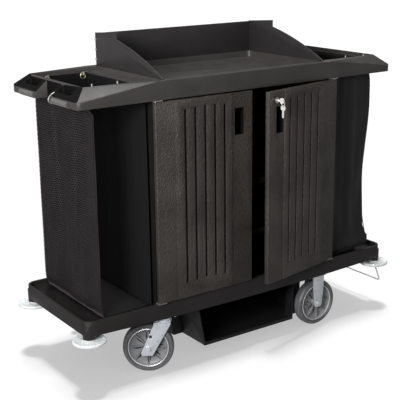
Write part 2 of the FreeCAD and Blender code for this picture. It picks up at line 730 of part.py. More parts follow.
grommets = []
pegs = []
for i, (end, way, side, sign, x) in enumerate(PEGS):
    near, far = neck_half - S["bag_wall"] - 1.5, neck_half - S["bag_wall"]
    low, high = (near, far) if sign > 0 else (-far, -near)
    washer = rod(f"grommet_disc_{i}", 13.5, low, high, x, 0, eye_z, "Y")
    eye = rod(f"grommet_eye_{i}", eye_radius_cloth - 0.5, low - 1, high + 1, x, 0, eye_z, "Y")
    grommets.append(cut(f"grommet_{i}", washer, eye))
    stem = (neck_half - 16, S["mouth_half"]) if sign > 0 else (-S["mouth_half"], 16 - neck_half)
    tip = sign * (neck_half - 14)
    peg_stem = rod(f"bag_hook_stem_{i}", peg_radius, *stem, x, 0, peg_z, "Y")
    peg_tip = rod(f"bag_hook_tip_{i}", peg_radius - 0.6, peg_z, peg_tops[side], x, tip)
    pegs.append(fuse(f"bag_hook_{i}", peg_stem, peg_tip))
part("bag_grommets", group("bag_grommet_set", *grommets))
part("bag_hooks", group("bag_hook_set", *pegs))

# ---------------------------------------------------------------- shelf under the deck
tub_z = (S["tub_level"], S["tub_top"])
skin = S["tub_wall"]
tub_half = S["tub_half"]
# Each stretch of the tray: its ends along X at the foot and at the top, and its reach front and back.
TRAY_STRETCHES = (("main", (-200, 268), (-238, 272), tub_half),
                  ("left", (-245, 0), (-283, 0), Size.of(58)),
                  ("right", (100, 340), (100, 345), Size.of(180)))


def tray_block(name, foot, top, low, high, depth, inset):
    """A stretch of the tray, or the room inside it when there is an inset."""
    corners = [(foot[0] + inset, low), (foot[1] - inset, low), (top[1] - inset, high), (top[0] + inset, high)]
    return prism(name, "XZ", corners, depth[0], depth[1])


tub_solids = []
tub_rooms = []
for word, foot, top, reach in TRAY_STRETCHES:
    foot = tuple(Size.of(x) for x in foot)
    top = tuple(Size.of(x) for x in top)
    tub_solids.append(tray_block(f"tub_{word}", foot, top, tub_z[0], tub_z[1], (-reach, reach), 0))
    front = -reach - 5 if word == "main" else skin - reach
    tub_rooms.append(tray_block(f"tub_{word}_room", foot, top, tub_z[0] + skin, tub_z[1] + 6,
                                (front, reach - skin), skin))
flange_z = (tub_z[1] - skin, tub_z[1])
tub_solids.append(block("tub_flange_left", (-274, -200), (-tub_half, tub_half), flange_z))
tub_solids.append(block("tub_flange_right", (260, 366), (-180, 180), flange_z))
tub_rooms += [rod(f"tub_hole_{i}", tub_bolt + fit, tub_z[1] - 10, tub_z[1] + 5, x, y)
              for i, (x, y) in enumerate(tub_bolts)]
tub_lip = block("tub_lip", (-202, 268), (-tub_half, skin - tub_half), (tub_z[0], tub_z[0] + 14))
tub_shell = cut("tub_hollowed", fuse("tub_outer", *tub_solids), *tub_rooms)
part("under_shelf", fuse("tub_solid", tub_shell, tub_lip))
bolts = []
for i, (x, y) in enumerate(tub_bolts):
    head = rod(f"tub_bolt_head_{i}", 2 * tub_bolt, flange_z[0] - 4, flange_z[0], x, y)
    shank = rod(f"tub_bolt_shank_{i}", tub_bolt, flange_z[0] - 1, bolt_top, x, y)
    bolts.append(fuse(f"tub_bolt_{i}", head, shank))
part("under_shelf_bolts", group("tub_bolt_set", *bolts))

# ---------------------------------------------------------------- bumper discs and the wire bail
level = S["bumper_level"]
bumper_bolts = []
bail_level = level - 16
for side, end, x, y in bumper_places():
    tag = f"{side}_{end}"
    outer = S["bumper_radius"]
    bore = bumper_bolt + 0.08
    disc = spun(f"bumper_{tag}_body",
                [(bore, -8.5), (20, -8.5), (24, -2), (outer - 14, -1), (outer - 11, -6), (outer - 4, -6),
                 (outer, -2), (outer, 3), (outer - 3, 6), (outer - 12, 6), (24, 3), (20, 9.5), (bore, 9.5)])
    part(f"bumper_disc_{tag}", place(disc, x, y, level))
    head_top, head_radius = (level - 10, 11) if end == "left" else (bail_level - 3.5, 8.5)
    head = rod(f"bumper_bolt_head_{tag}", head_radius, head_top - 6, head_top, x, y)
    shank = rod(f"bumper_bolt_shank_{tag}", bumper_bolt, head_top - 1, bolt_top, x, y)
    bumper_bolts.append(fuse(f"bumper_bolt_{tag}", head, shank))
part("bumper_bolts", group("bumper_bolt_set", *bumper_bolts))

wire = S["wire_radius"]
eye_radius = 11
bail_drop = 85
bail_out = 47
bend = 14


def bail_shape():
    """A wire with an eye round each right bumper bolt and a bar hanging across the cart's end."""
    x, y, r, top = S["bumper_x"].value, S["bumper_y"].value, wire.value, bail_level.value
    corner = V(x + bail_out, -y, top - bail_drop)
    down = (corner - V(x + eye_radius, -y, top)).normalize()
    across = V(0, 1, 0)
    start = V(x + eye_radius, -y, top) - down * 0.5
    centre = corner + (across - down) * bend
    middle = centre - (across - down).normalize() * bend

    def far(point):
        return V(point.x, -point.y, point.z)

    first, second = corner - down * bend, corner + across * bend
    edges = [Part.LineSegment(start, first), Part.Arc(first, middle, second),
             Part.LineSegment(second, far(second)), Part.Arc(far(second), far(middle), far(first)),
             Part.LineSegment(far(first), far(start))]
    path = Part.Wire([edge.toShape() for edge in edges])
    section = Part.Wire([Part.Circle(start, down, r).toShape()])
    leg = path.makePipeShell([section], True, False)
    eyes = [Part.makeTorus(eye_radius, r + 0.2, V(x, sign * y, top)) for sign in (-1, 1)]
    return leg.fuse(eyes)


bail = doc.addObject("Part::Feature", "wire_bail_feature")
bail.Shape = bail_shape()
part("wire_bail", bail)


# ---------------------------------------------------------------- casters
crown_top = plate_bottom - 15
steel = S["fork_steel"]
gap = S["fork_gap"]
axle_z = S["wheel_radius"]
trail = S["caster_trail"]
plate_x = 55
plate_y = 27


def plate(tag, x, y):
    """A caster's top plate with its four bolt holes."""
    solid = block(f"plate_{tag}", (x - plate_x, x + plate_x), (y - plate_y, y + plate_y),
                  (plate_bottom, S["pad_bottom"]))
    holes = [rod(f"plate_hole_{tag}_{i}_{j}", bolt_radius + fit, plate_bottom - 5, S["pad_bottom"] + 5,
                 x + dx, y + dy) for i, dx in enumerate((-43, 43)) for j, dy in enumerate((-17, 17))]
    return cut(f"plate_drilled_{tag}", solid, *holes)


def legs(tag, corners, axle_u):
    """Both legs of a fork, bored for the axle bolt, in the fork's own frame."""
    outer = gap + steel
    found = [prism(f"fork_leg_{tag}_{i}", "XZ", corners, low, high)
             for i, (low, high) in enumerate(((-outer, -gap), (gap, outer)))]
    bore = rod(f"fork_bore_{tag}", S["axle_radius"] + fit, -outer - 5, outer + 5, axle_u, 0, axle_z, "Y")
    return found, bore


def swivel_caster(side, sign):
    """King pin and race under a plate, and a raked fork that turns below them."""
    x, y = S["caster_x_swivel"], sign * S["caster_y"]
    race_top = plate_bottom
    race_cup = rod(f"race_cup_{side}", 31, race_top - 8, race_top, x, y)
    race = fuse(f"race_{side}", plate(f"swivel_{side}", x, y), race_cup)
    pin = rod(f"kingpin_{side}", 8, crown_top - 9, race_top - 2, x, y)
    nut = rod(f"kingpin_nut_{side}", 13, crown_top - 14, crown_top - 5.4, x, y)
    part(f"swivel_plate_{side}", fuse(f"swivel_top_{side}", race, pin, nut))

    corners = [(-30, crown_top), (36, crown_top), (38, crown_top - 12), (88, 84), (86, 72), (44, 72),
               (38, 82), (-28, crown_top - 10)]
    found, bore = legs(f"swivel_{side}", corners, trail)
    crown = block(f"fork_crown_{side}", (-30, 36), (-gap - steel, gap + steel), (crown_top - 5, crown_top))
    cup = rod(f"fork_cup_{side}", 34, crown_top - 1, race_top - 8.4)
    hole = rod(f"fork_pin_hole_{side}", 8.4, crown_top - 20, race_top + 5)
    window = block(f"fork_window_{side}", (44, 56), (-gap - steel - 5, gap + steel + 5), (147, 159))
    blank = fuse(f"swivel_fork_{side}_blank", crown, cup, *found)
    fork = group(f"swivel_fork_{side}_hung", cut(f"swivel_fork_{side}_solid", blank, bore, hole, window))
    part(f"swivel_fork_{side}", place(fork, x, y, 0, V(0, 0, 1), S["swivel_rest"]))


def rigid_caster(side, sign):
    """A fork welded to its plate, wheel straight below."""
    x, y = S["caster_x_rigid"], sign * S["caster_y"]
    corners = [(-30, plate_bottom), (30, plate_bottom), (29, 180), (20, 92), (12, 84), (-12, 84),
               (-20, 92), (-29, 180)]
    found, bore = legs(f"rigid_{side}", corners, 0)
    web = block(f"rigid_web_{side}", (-30, 30), (-gap - steel, gap + steel),
                (plate_bottom - 6, plate_bottom))
    fork = cut(f"rigid_fork_{side}_solid", fuse(f"rigid_fork_{side}_blank", web, *found), bore)
    hung = place(group(f"rigid_fork_{side}_hung", fork), x, y)
    part(f"rigid_fork_{side}", fuse(f"rigid_caster_{side}", plate(f"rigid_{side}", x, y), hung))


def wheel(tag, x, y, angle):
    """Hub with eight blade spokes, tyre and axle bolt, built about the axle and set in the fork."""
    width = S["tyre_width"] / 2
    rim_r = S["tyre_inner"]
    bore = S["axle_radius"] + 0.08
    hub = spun(f"hub_{tag}_body", [(bore, -24), (17, -24), (20, -12), (20, 12), (17, 24), (bore, 24)])
    # The rim is a second outline of the same turning, the web a thin disc between them.
    rim_sketch = outline(new_sketch(hub, f"hub_{tag}_rim", "XZ"),
                         [(rim_r - 9, -15), (rim_r - 6, -18), (rim_r - 0.05, -18), (rim_r - 0.05, 18),
                          (rim_r - 6, 18), (rim_r - 9, 15)])
    web_sketch = rectangle(new_sketch(hub, f"hub_{tag}_web", "XZ"), (18, rim_r - 8), (-2.5, 2.5))
    for extra in (web_sketch, rim_sketch):
        turned = hub.newObject("PartDesign::Revolution", extra.Name + "_turn")
        turned.Profile = extra
        turned.ReferenceAxis = (extra, ["V_Axis"])
        turned.Angle = 360
        doc.recompute()
    spoke_sketch = outline(new_sketch(hub, f"hub_{tag}_spoke", "XY", -13),
                           [(18, -2), (rim_r - 8, -5), (rim_r - 8, -2), (18, 3)])
    spoke = pad(hub, f"hub_{tag}_spoke_pad", spoke_sketch, 26)
    doc.recompute()
    ring_of_spokes = hub.newObject("PartDesign::PolarPattern", f"hub_{tag}_spokes")
    ring_of_spokes.Originals = [spoke]
    ring_of_spokes.Axis = (spoke_sketch, ["N_Axis"])
    ring_of_spokes.Angle = 360
    ring_of_spokes.Occurrences = 8
    hub.Tip = ring_of_spokes
    tread = axle_z
    tyre = spun(f"tyre_{tag}_body", [(rim_r, -17), (rim_r + 5, -width), (tread - 7, -width),
                                     (tread, 7 - width), (tread, width - 7), (tread - 7, width),
                                     (rim_r + 5, width), (rim_r, 17)])
    outer = gap + steel
    shank = rod(f"axle_{tag}_shank", S["axle_radius"], -outer - 8, outer + 8)
    head = rod(f"axle_{tag}_head", 10, -outer - 7, -outer)
    nut = rod(f"axle_{tag}_nut", 10, outer, outer + 7)
    bolt = fuse(f"axle_{tag}_solid", shank, head, nut)
    turn = FreeCAD.Rotation(V(0, 0, 1), angle.value) * FreeCAD.Rotation(V(1, 0, 0), 90)
    for node, solid in ((f"wheel_hub_{tag}", hub), (f"tyre_{tag}", tyre), (f"axle_bolt_{tag}", bolt)):
        hung = place(solid, x, y, axle_z, turn.Axis, math.degrees(turn.Angle))
        part(node, hung)


rest = S["swivel_rest"]
reach_x = S["caster_trail"] * math.cos(math.radians(rest.value))
reach_y = S["caster_trail"] * math.sin(math.radians(rest.value))
for side, sign in SIDES:
    swivel_caster(side, sign)
    rigid_caster(side, sign)
    wheel(f"{side}_left", S["caster_x_swivel"] + reach_x, sign * S["caster_y"] + reach_y, rest)
    wheel(f"{side}_right", S["caster_x_rigid"], sign * S["caster_y"], Size.of(0))

bolts = []
for i, (x, y) in enumerate(caster_bolt_places()):
    head = rod(f"caster_bolt_head_{i}", 7, plate_bottom - 5, plate_bottom, x, y)
    shank = rod(f"caster_bolt_shank_{i}", bolt_radius, plate_bottom - 1, bolt_top, x, y)
    bolts.append(fuse(f"caster_bolt_{i}", head, shank))
part("caster_bolts", group("caster_bolt_set", *bolts))

# ---------------------------------------------------------------- check and write
doc.recompute()
problems = [item.Name for item in doc.Objects if {"Invalid", "Error"} & set(item.State)]
for item in PARTS:
    if item.Shape.isNull() or not item.Shape.isValid() or not item.Shape.Solids:
        problems.append(item.Label)
if problems:
    raise RuntimeError(f"not built: {problems}")

os.makedirs("parts", exist_ok=True)
for item in PARTS:
    item.Shape.exportStep(f"parts/{item.Label}.step")
    print(f"{item.Label:24s} {len(item.Shape.Solids):3d} solid(s) {item.Shape.Volume / 1000:10.1f} cm3")
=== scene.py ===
"""Housekeeping cart: the looks of every piece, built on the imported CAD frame."""

import logging
import math
from dataclasses import dataclass
from enum import Enum
from typing import Callable, Iterable, Optional, Sequence

import bmesh
import bpy
from mathutils import Matrix, Vector, noise


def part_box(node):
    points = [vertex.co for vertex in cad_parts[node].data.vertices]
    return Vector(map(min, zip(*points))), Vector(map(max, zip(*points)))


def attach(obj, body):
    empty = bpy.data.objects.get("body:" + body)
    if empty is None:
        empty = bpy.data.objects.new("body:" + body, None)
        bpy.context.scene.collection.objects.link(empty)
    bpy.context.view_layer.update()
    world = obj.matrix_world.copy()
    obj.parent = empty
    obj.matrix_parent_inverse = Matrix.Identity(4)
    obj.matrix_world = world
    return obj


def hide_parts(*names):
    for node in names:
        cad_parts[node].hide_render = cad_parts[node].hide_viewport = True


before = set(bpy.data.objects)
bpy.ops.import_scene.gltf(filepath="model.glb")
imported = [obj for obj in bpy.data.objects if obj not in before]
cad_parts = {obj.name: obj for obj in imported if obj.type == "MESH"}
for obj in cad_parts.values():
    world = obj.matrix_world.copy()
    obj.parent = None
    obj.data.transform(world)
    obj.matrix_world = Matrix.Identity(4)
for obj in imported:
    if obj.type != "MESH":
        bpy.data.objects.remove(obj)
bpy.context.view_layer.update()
LOG = logging.getLogger("cart")
Point = Sequence[float]
Colour = tuple[float, float, float]


# ---------------------------------------------------------------- finishes
class Graph:
    """A material's node tree, with short ways to add nodes and to join them."""

    def __init__(self, name: str) -> None:
        """Starts a material with one principled shader.

        Args:
            name: the material's name.
        """
        self.material = bpy.data.materials.new(name)
        self.material.use_nodes = True
        self.tree = self.material.node_tree
        self.tree.nodes.clear()
        output = self.add("ShaderNodeOutputMaterial")
        self.shader = self.add("ShaderNodeBsdfPrincipled")
        self.tree.links.new(self.shader.outputs["BSDF"], output.inputs["Surface"])
        coordinates = self.add("ShaderNodeTexCoord")
        self.place = coordinates.outputs["Object"]
        self.flat = coordinates.outputs["UV"]

    def add(self, kind: str, **values: object) -> bpy.types.Node:
        """Adds a node.

        Args:
            kind: the node's class.
            values: input names, with underscores for spaces, and their values or sockets.

        Returns:
            The node.
        """
        node = self.tree.nodes.new(kind)
        for word, value in values.items():
            self.put(node, word.replace("_", " "), value)
        return node

    def put(self, node: bpy.types.Node, word: str, value: object) -> None:
        """Sets or joins one input.

        Args:
            node: the node.
            word: the input's name.
            value: a plain value or a socket.
        """
        if isinstance(value, bpy.types.NodeSocket):
            self.tree.links.new(value, node.inputs[word])
        else:
            node.inputs[word].default_value = value

    def surface(self, **values: object) -> None:
        """Sets inputs of the principled shader, by name with underscores for spaces."""
        for word, value in values.items():
            self.put(self.shader, word.replace("_", " "), value)

    def stretched(self, source: bpy.types.NodeSocket, scale: Point, turn: Point = (0, 0, 0)) -> bpy.types.NodeSocket:
        """Coordinates scaled and turned about the origin."""
        node = self.add("ShaderNodeMapping", Vector=source, Scale=scale, Rotation=turn)
        return node.outputs["Vector"]

    def clouds(self, scale: float, detail: float = 2.0, source: Optional[bpy.types.NodeSocket] = None
               ) -> bpy.types.NodeSocket:
        """Soft noise.

        Args:
            scale: waves per metre.
            detail: octaves.
            source: coordinates, the piece's own place unless given.

        Returns:
            The noise's height, about a half on average.
        """
        node = self.add("ShaderNodeTexNoise", Vector=source or self.place, Scale=scale, Detail=detail)
        return node.outputs["Fac"]

    def pebbles(self, size: float, source: Optional[bpy.types.NodeSocket] = None, regular: bool = False
                ) -> bpy.types.Node:
        """Rounded cells.

        Args:
            size: across a cell, in metres.
            source: coordinates, the piece's own place unless given.
            regular: True for a lattice.

        Returns:
            The texture node.
        """
        node = self.add("ShaderNodeTexVoronoi", Vector=source or self.place, Scale=1 / size)
        node.inputs["Randomness"].default_value = 0.0 if regular else 1.0
        if regular:
            node.voronoi_dimensions = "2D"
        return node

    def level(self, value: bpy.types.NodeSocket, low: float, high: float, to_low: float, to_high: float
              ) -> bpy.types.NodeSocket:
        """Stretches a value from one range to another, clamped."""
        node = self.add("ShaderNodeMapRange", Value=value)
        for word, number in (("From Min", low), ("From Max", high), ("To Min", to_low), ("To Max", to_high)):
            node.inputs[word].default_value = number
        return node.outputs["Result"]

    def blend(self, factor: bpy.types.NodeSocket, first: object, second: object) -> bpy.types.NodeSocket:
        """Mixes two colours, or sockets of colour.

        Args:
            factor: how much of the second.
            first: the first colour.
            second: the second colour.

        Returns:
            The mixed colour.
        """
        node = self.tree.nodes.new("ShaderNodeMix")
        node.data_type = "RGBA"
        self.tree.links.new(factor, node.inputs[0])
        for socket, value in ((node.inputs[6], first), (node.inputs[7], second)):
            if isinstance(value, bpy.types.NodeSocket):
                self.tree.links.new(value, socket)
            else:
                socket.default_value = (*value, 1.0)
        return node.outputs[2]

    def sum(self, first: object, second: object, kind: str = "ADD") -> bpy.types.NodeSocket:
        """Joins two numbers by a plain sum or another operation."""
        node = self.add("ShaderNodeMath")
        node.operation = kind
        for socket, value in zip(node.inputs, (first, second)):
            if isinstance(value, bpy.types.NodeSocket):
                self.tree.links.new(value, socket)
            else:
                socket.default_value = value
        return node.outputs[0]

    def bump(self, height: bpy.types.NodeSocket, distance: float, strength: float = 1.0,
             under: Optional[bpy.types.NodeSocket] = None) -> bpy.types.NodeSocket:
        """Turns a height into a normal.

        Args:
            height: the height, 0 to 1.
            distance: its depth in metres.
            strength: how much of it shows.
            under: a normal to add it to.

        Returns:
            The normal.
        """
        node = self.add("ShaderNodeBump", Height=height, Distance=distance, Strength=strength)
        if under is not None:
            self.tree.links.new(under, node.inputs["Normal"])
        return node.outputs["Normal"]


def shade(colour: Colour, factor: float) -> Colour:
    """A colour made lighter or darker."""
    return tuple(min(1.0, part * factor) for part in colour)


@dataclass(frozen=True)
class MouldedPlastic:
    """Structural plastic with a pebbled skin, faint mottling and rubbed patches."""

    name: str
    colour: Colour
    pebble: float = 0.0026
    relief: float = 0.0006
    rough: float = 0.42
    mottle: float = 0.16
    rub: float = 1.35
    gloss: float = 0.25

    def build(self) -> bpy.types.Material:
        """Makes the material.

        Returns:
            The material.
        """
        g = Graph(self.name)
        grain = g.pebbles(self.pebble)
        broad = g.pebbles(self.pebble * 3.1)
        fine = g.clouds(2.4 / self.pebble, 3)
        height = g.sum(g.sum(grain.outputs["Distance"], 0.7, "MULTIPLY"), g.sum(fine, 0.5, "MULTIPLY"))
        height = g.sum(height, g.sum(broad.outputs["Distance"], 0.35, "MULTIPLY"))
        patches = g.level(g.clouds(7, 4), 0.35, 0.68, 0, 1)
        tone = g.blend(patches, shade(self.colour, 1 - self.mottle), shade(self.colour, 1 + self.mottle))
        speck = g.level(grain.outputs["Distance"], 0.1, 0.75, 0, 1)
        tone = g.blend(g.sum(speck, 0.5, "MULTIPLY"), tone, shade(self.colour, 0.62))
        smear = g.clouds(11, 5, g.stretched(g.place, (1, 1, 4.5)))
        rubbed = g.level(smear, 0.61, 0.72, 0, 0.45)
        tone = g.blend(rubbed, tone, shade(self.colour, self.rub))
        g.surface(Base_Color=tone, Specular_IOR_Level=self.gloss)
        g.surface(Roughness=g.level(g.clouds(16, 3), 0.3, 0.7, self.rough - 0.06, self.rough + 0.09))
        swell = g.bump(g.clouds(5, 2), 0.0016, 0.35)
        g.surface(Normal=g.bump(height, self.relief, 1.0, swell))
        return g.material


@dataclass(frozen=True)
class PlatedSteel:
    """Bright plated steel with drawn streaks and dull spots."""

    name: str
    colour: Colour
    rough: float = 0.3
    streak: tuple[float, float, float] = (40.0, 40.0, 900.0)
    metallic: float = 1.0

    def build(self) -> bpy.types.Material:
        """Makes the material.

        Returns:
            The material.
        """
        g = Graph(self.name)
        lines = g.clouds(1, 4, g.stretched(g.place, self.streak))
        spots = g.level(g.clouds(90, 4), 0.5, 0.72, 0, 1)
        g.surface(Base_Color=g.blend(spots, self.colour, shade(self.colour, 0.78)), Metallic=self.metallic)
        g.surface(Roughness=g.level(lines, 0.3, 0.7, self.rough * 0.75, self.rough * 1.35))
        g.surface(Normal=g.bump(lines, 0.00006, 0.5))
        return g.material


@dataclass(frozen=True)
class Rubber:
    """Soft rubber or clear soft plastic with a dusty, worn skin."""

    name: str
    colour: Colour
    rough: float = 0.6
    dust: float = 1.5
    clear: float = 0.0
    grain: float = 34.0

    def build(self) -> bpy.types.Material:
        """Makes the material.

        Returns:
            The material.
        """
        g = Graph(self.name)
        dusty = g.level(g.clouds(self.grain, 5), 0.42, 0.7, 0, 1)
        g.surface(Base_Color=g.blend(dusty, self.colour, shade(self.colour, self.dust)))
        g.surface(Roughness=g.level(g.clouds(120, 3), 0.3, 0.7, self.rough - 0.08, self.rough + 0.1))
        g.surface(Normal=g.bump(g.clouds(520, 3), 0.0002, 0.5))
        if self.clear:
            g.surface(Transmission_Weight=self.clear, IOR=1.42)
        return g.material


class Weave(Enum):
    """How a cloth is made."""

    CLOSE = "close"
    NET = "net"
    TAPE = "tape"


@dataclass(frozen=True)
class Cloth:
    """Bag cloth, patterned along the piece's own flat cut."""

    name: str
    colour: Colour
    weave: Weave = Weave.CLOSE
    pitch: float = 0.0014
    rough: float = 0.62
    sheen: float = 0.25

    def build(self) -> bpy.types.Material:
        """Makes the material.

        Returns:
            The material.
        """
        g = Graph(self.name)
        worn = g.level(g.clouds(9, 4, g.flat), 0.35, 0.7, 0, 1)
        tone = g.blend(worn, shade(self.colour, 0.82), shade(self.colour, 1.25))
        g.surface(Roughness=self.rough, Sheen_Weight=self.sheen, Sheen_Roughness=0.45, Specular_IOR_Level=0.2)
        if self.weave is Weave.NET:
            knots = self.holes(g)
            g.surface(Base_Color=g.blend(g.level(knots, 0.34, 0.46, 0, 1), shade(self.colour, 0.45), tone))
            g.surface(Alpha=g.level(knots, 0.30, 0.40, 0.35, 1.0))
            g.surface(Normal=g.bump(knots, 0.0006, 0.4))
            return g.material
        across = g.add("ShaderNodeTexWave", Vector=g.flat, Scale=1 / self.pitch / 20, Distortion=0.6)
        along = g.add("ShaderNodeTexWave", Vector=g.flat, Scale=1 / self.pitch / 20, Distortion=0.6)
        along.bands_direction = "Y"
        threads = g.sum(across.outputs["Fac"], along.outputs["Fac"])
        if self.weave is Weave.TAPE:
            threads = along.outputs["Fac"]
        g.surface(Base_Color=g.blend(g.level(threads, 0.2, 1.6, 0, 0.4), tone, shade(self.colour, 1.6)))
        crease = g.bump(g.clouds(26, 4, g.stretched(g.flat, (1.0, 0.25, 1.0))), 0.004, 0.35)
        g.surface(Normal=g.bump(threads, 0.0003, 0.6, crease))
        return g.material


    def holes(self, g: Graph) -> bpy.types.NodeSocket:
        """Rows of holes, every second row half a step along.

        Args:
            g: the material's graph.

        Returns:
            Distance from the nearest hole's middle, about 0.6 at most.
        """
        nearest = None
        for shift in ((0.0, 0.0, 0.0), (0.5, 0.5, 0.0)):
            scaled = g.stretched(g.flat, (1 / self.pitch, 0.5 / self.pitch, 1.0))
            moved = g.add("ShaderNodeVectorMath", Vector=scaled)
            moved.operation = "ADD"
            moved.inputs[1].default_value = shift
            part = g.add("ShaderNodeVectorMath", Vector=moved.outputs["Vector"])
            part.operation = "FRACTION"
            centred = g.add("ShaderNodeVectorMath", Vector=part.outputs["Vector"])
            centred.operation = "SUBTRACT"
            centred.inputs[1].default_value = (0.5, 0.5, 0.0)
            flat = g.add("ShaderNodeVectorMath", Vector=centred.outputs["Vector"])
            flat.operation = "MULTIPLY"
            flat.inputs[1].default_value = (1.0, 2.0, 0.0)
            length = g.add("ShaderNodeVectorMath", Vector=flat.outputs["Vector"])
            length.operation = "LENGTH"
            reach = length.outputs["Value"]
            nearest = reach if nearest is None else g.sum(nearest, reach, "MINIMUM")
        return nearest


class Finishes:
    """Every material of the cart, made once."""

    def __init__(self) -> None:
        """Builds the materials."""
        self.deck = MouldedPlastic("base deck plastic", (0.0130, 0.0112, 0.0110), gloss=0.22).build()
        self.top = MouldedPlastic("top deck plastic", (0.036, 0.033, 0.032), rough=0.38, gloss=0.3).build()
        self.door = MouldedPlastic("door plastic", (0.034, 0.029, 0.0255), 0.0062, 0.0032, 0.42, 0.3).build()
        self.panel = MouldedPlastic("cabinet plastic", (0.007, 0.0065, 0.0065), 0.003, 0.0006, 0.5, gloss=0.1).build()
        self.hood = MouldedPlastic("hood plastic", (0.024, 0.022, 0.022), 0.0016, 0.0002, 0.36, 0.1).build()
        self.tray = MouldedPlastic("under shelf plastic", (0.009, 0.008, 0.009), 0.003, 0.0006, 0.42, gloss=0.2).build()
        self.zinc = PlatedSteel("zinc plated steel", (0.56, 0.58, 0.62), 0.36, metallic=0.6).build()
        self.dark_steel = PlatedSteel("dull steel", (0.30, 0.29, 0.28), 0.45, metallic=0.8).build()
        self.chrome = PlatedSteel("polished lock steel", (0.46, 0.45, 0.43), 0.2).build()
        self.key = PlatedSteel("nickel plated keys", (0.93, 0.92, 0.87), 0.24, metallic=0.55).build()
        self.brass = PlatedSteel("dull brass", (0.50, 0.47, 0.30), 0.36).build()
        self.rim = PlatedSteel("bright wheel ring", (0.50, 0.50, 0.51), 0.34, metallic=0.4).build()
        self.hub = MouldedPlastic("grey wheel plastic", (0.165, 0.165, 0.17), 0.002, 0.0003, 0.42, 0.1, 1.2, 0.4).build()
        self.tyre = Rubber("grey tyre rubber", (0.062, 0.062, 0.065), 0.5, 1.5).build()
        self.disc = Rubber("pale bumper plastic", (0.66, 0.69, 0.69), 0.2, 1.06, 0.35, 9.0).build()
        self.nylon = Cloth("coated nylon", (0.0068, 0.0063, 0.0068), rough=0.5, sheen=0.04).build()
        self.net = Cloth("bag net", (0.0150, 0.0130, 0.0138), Weave.NET, 0.0092, 0.6, 0.0).build()
        self.tape = Cloth("binding tape", (0.016, 0.011, 0.012), Weave.TAPE, 0.0022, 0.55, 0.1).build()
        self.liner = Cloth("bag liner", (0.0016, 0.0016, 0.0019), rough=0.9, sheen=0.0).build()
        # Near-black plastic laid on the door grooves, the finger holes and the grip holes: painted shade.
        self.shade = MouldedPlastic("painted shade in hollows", (0.0035, 0.0033, 0.0033), rough=0.6, gloss=0.05).build()
        # Lighter grey than the top deck, standing for the highlights along the rolled grips: painted highlight.
        self.grip = MouldedPlastic("grip plastic lightened as painted highlight", (0.085, 0.081, 0.080), rough=0.32, gloss=0.45).build()
        # Near-black strips beside the wheel blades: painted shade.
        self.blade_shade = MouldedPlastic("painted shade by the wheel blades", (0.010, 0.010, 0.011), rough=0.5, gloss=0.1).build()


# ---------------------------------------------------------------- meshes
def new_piece(name: str, bm: bmesh.types.BMesh, material: bpy.types.Material, body: str,
              stands_for: Iterable[str] = (), crease: float = 32.0, outward: bool = True) -> bpy.types.Object:
    """Turns a bmesh into a piece of the cart.

    Args:
        name: the piece's name.
        bm: its shape in the row frame; it is freed.
        material: its finish.
        body: the CAD body that it rides on.
        stands_for: CAD nodes that it replaces.
        crease: edges sharper than this many degrees stay sharp.
        outward: True to turn a closed shape's faces outwards.

    Returns:
        The object.
    """
    if outward:
        bmesh.ops.recalc_face_normals(bm, faces=bm.faces)
    for face in bm.faces:
        face.smooth = True
    for edge in bm.edges:
        if len(edge.link_faces) == 2 and edge.calc_face_angle(0.0) > math.radians(crease):
            edge.smooth = False
    mesh = bpy.data.meshes.new(name)
    bm.to_mesh(mesh)
    bm.free()
    mesh.materials.append(material)
    piece = bpy.data.objects.new(name, mesh)
    bpy.context.scene.collection.objects.link(piece)
    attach(piece, body)
    nodes = list(stands_for)
    if nodes:
        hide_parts(*nodes)
    LOG.info("piece %s on %s: %d faces", name, body, len(mesh.polygons))
    return piece


def dress(material: bpy.types.Material, *nodes: str) -> None:
    """Gives CAD nodes that stay a finish.

    Args:
        material: the finish.
        nodes: the nodes' names.
    """
    for node in nodes:
        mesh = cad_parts[node].data
        mesh.materials.clear()
        mesh.materials.append(material)
        LOG.info("finish %s on %s", material.name, node)


def softened(node: str, width: float, material: bpy.types.Material, body: str,
             hollow: Optional[Callable[[Vector], bool]] = None, dark: Optional[bpy.types.Material] = None,
             sharp: float = 30.0) -> bpy.types.Object:
    """A copy of a CAD node whose sharp edges are rounded, as moulding and pressing leave them.

    Args:
        node: the CAD node.
        width: the rounding's width in metres.
        material: the finish.
        body: the CAD body.
        hollow: picks the faces, by their middle, that get painted shade.
        dark: the near-black finish painted on the node's hollows as shade.
        sharp: edges over this many degrees are rounded.

    Returns:
        The object that replaces the node.
    """
    bm = bmesh.new()
    bm.from_mesh(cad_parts[node].data)
    bmesh.ops.remove_doubles(bm, verts=bm.verts, dist=2e-5)
    bmesh.ops.dissolve_degenerate(bm, dist=1e-5, edges=bm.edges)
    bmesh.ops.dissolve_limit(bm, angle_limit=math.radians(0.6), verts=bm.verts, edges=bm.edges, delimit={"NORMAL"})
    edges = [e for e in bm.edges if len(e.link_faces) == 2 and e.calc_face_angle(0.0) > math.radians(sharp)]
    bmesh.ops.bevel(bm, geom=edges, offset=width, offset_type="OFFSET", segments=2, profile=0.5,
                    affect="EDGES", clamp_overlap=True, material=-1, loop_slide=True)
    bm.faces.index_update()
    inside = [face.index for face in bm.faces if hollow is not None and hollow(face.calc_center_median())]
    piece = new_piece(node + "_look", bm, material, body, [node], 40.0, False)
    # The picked faces get the dark finish: painted shade in the hollows.
    if dark is not None:
        piece.data.materials.append(dark)
        for index in inside:
            piece.data.polygons[index].material_index = 1
    return piece


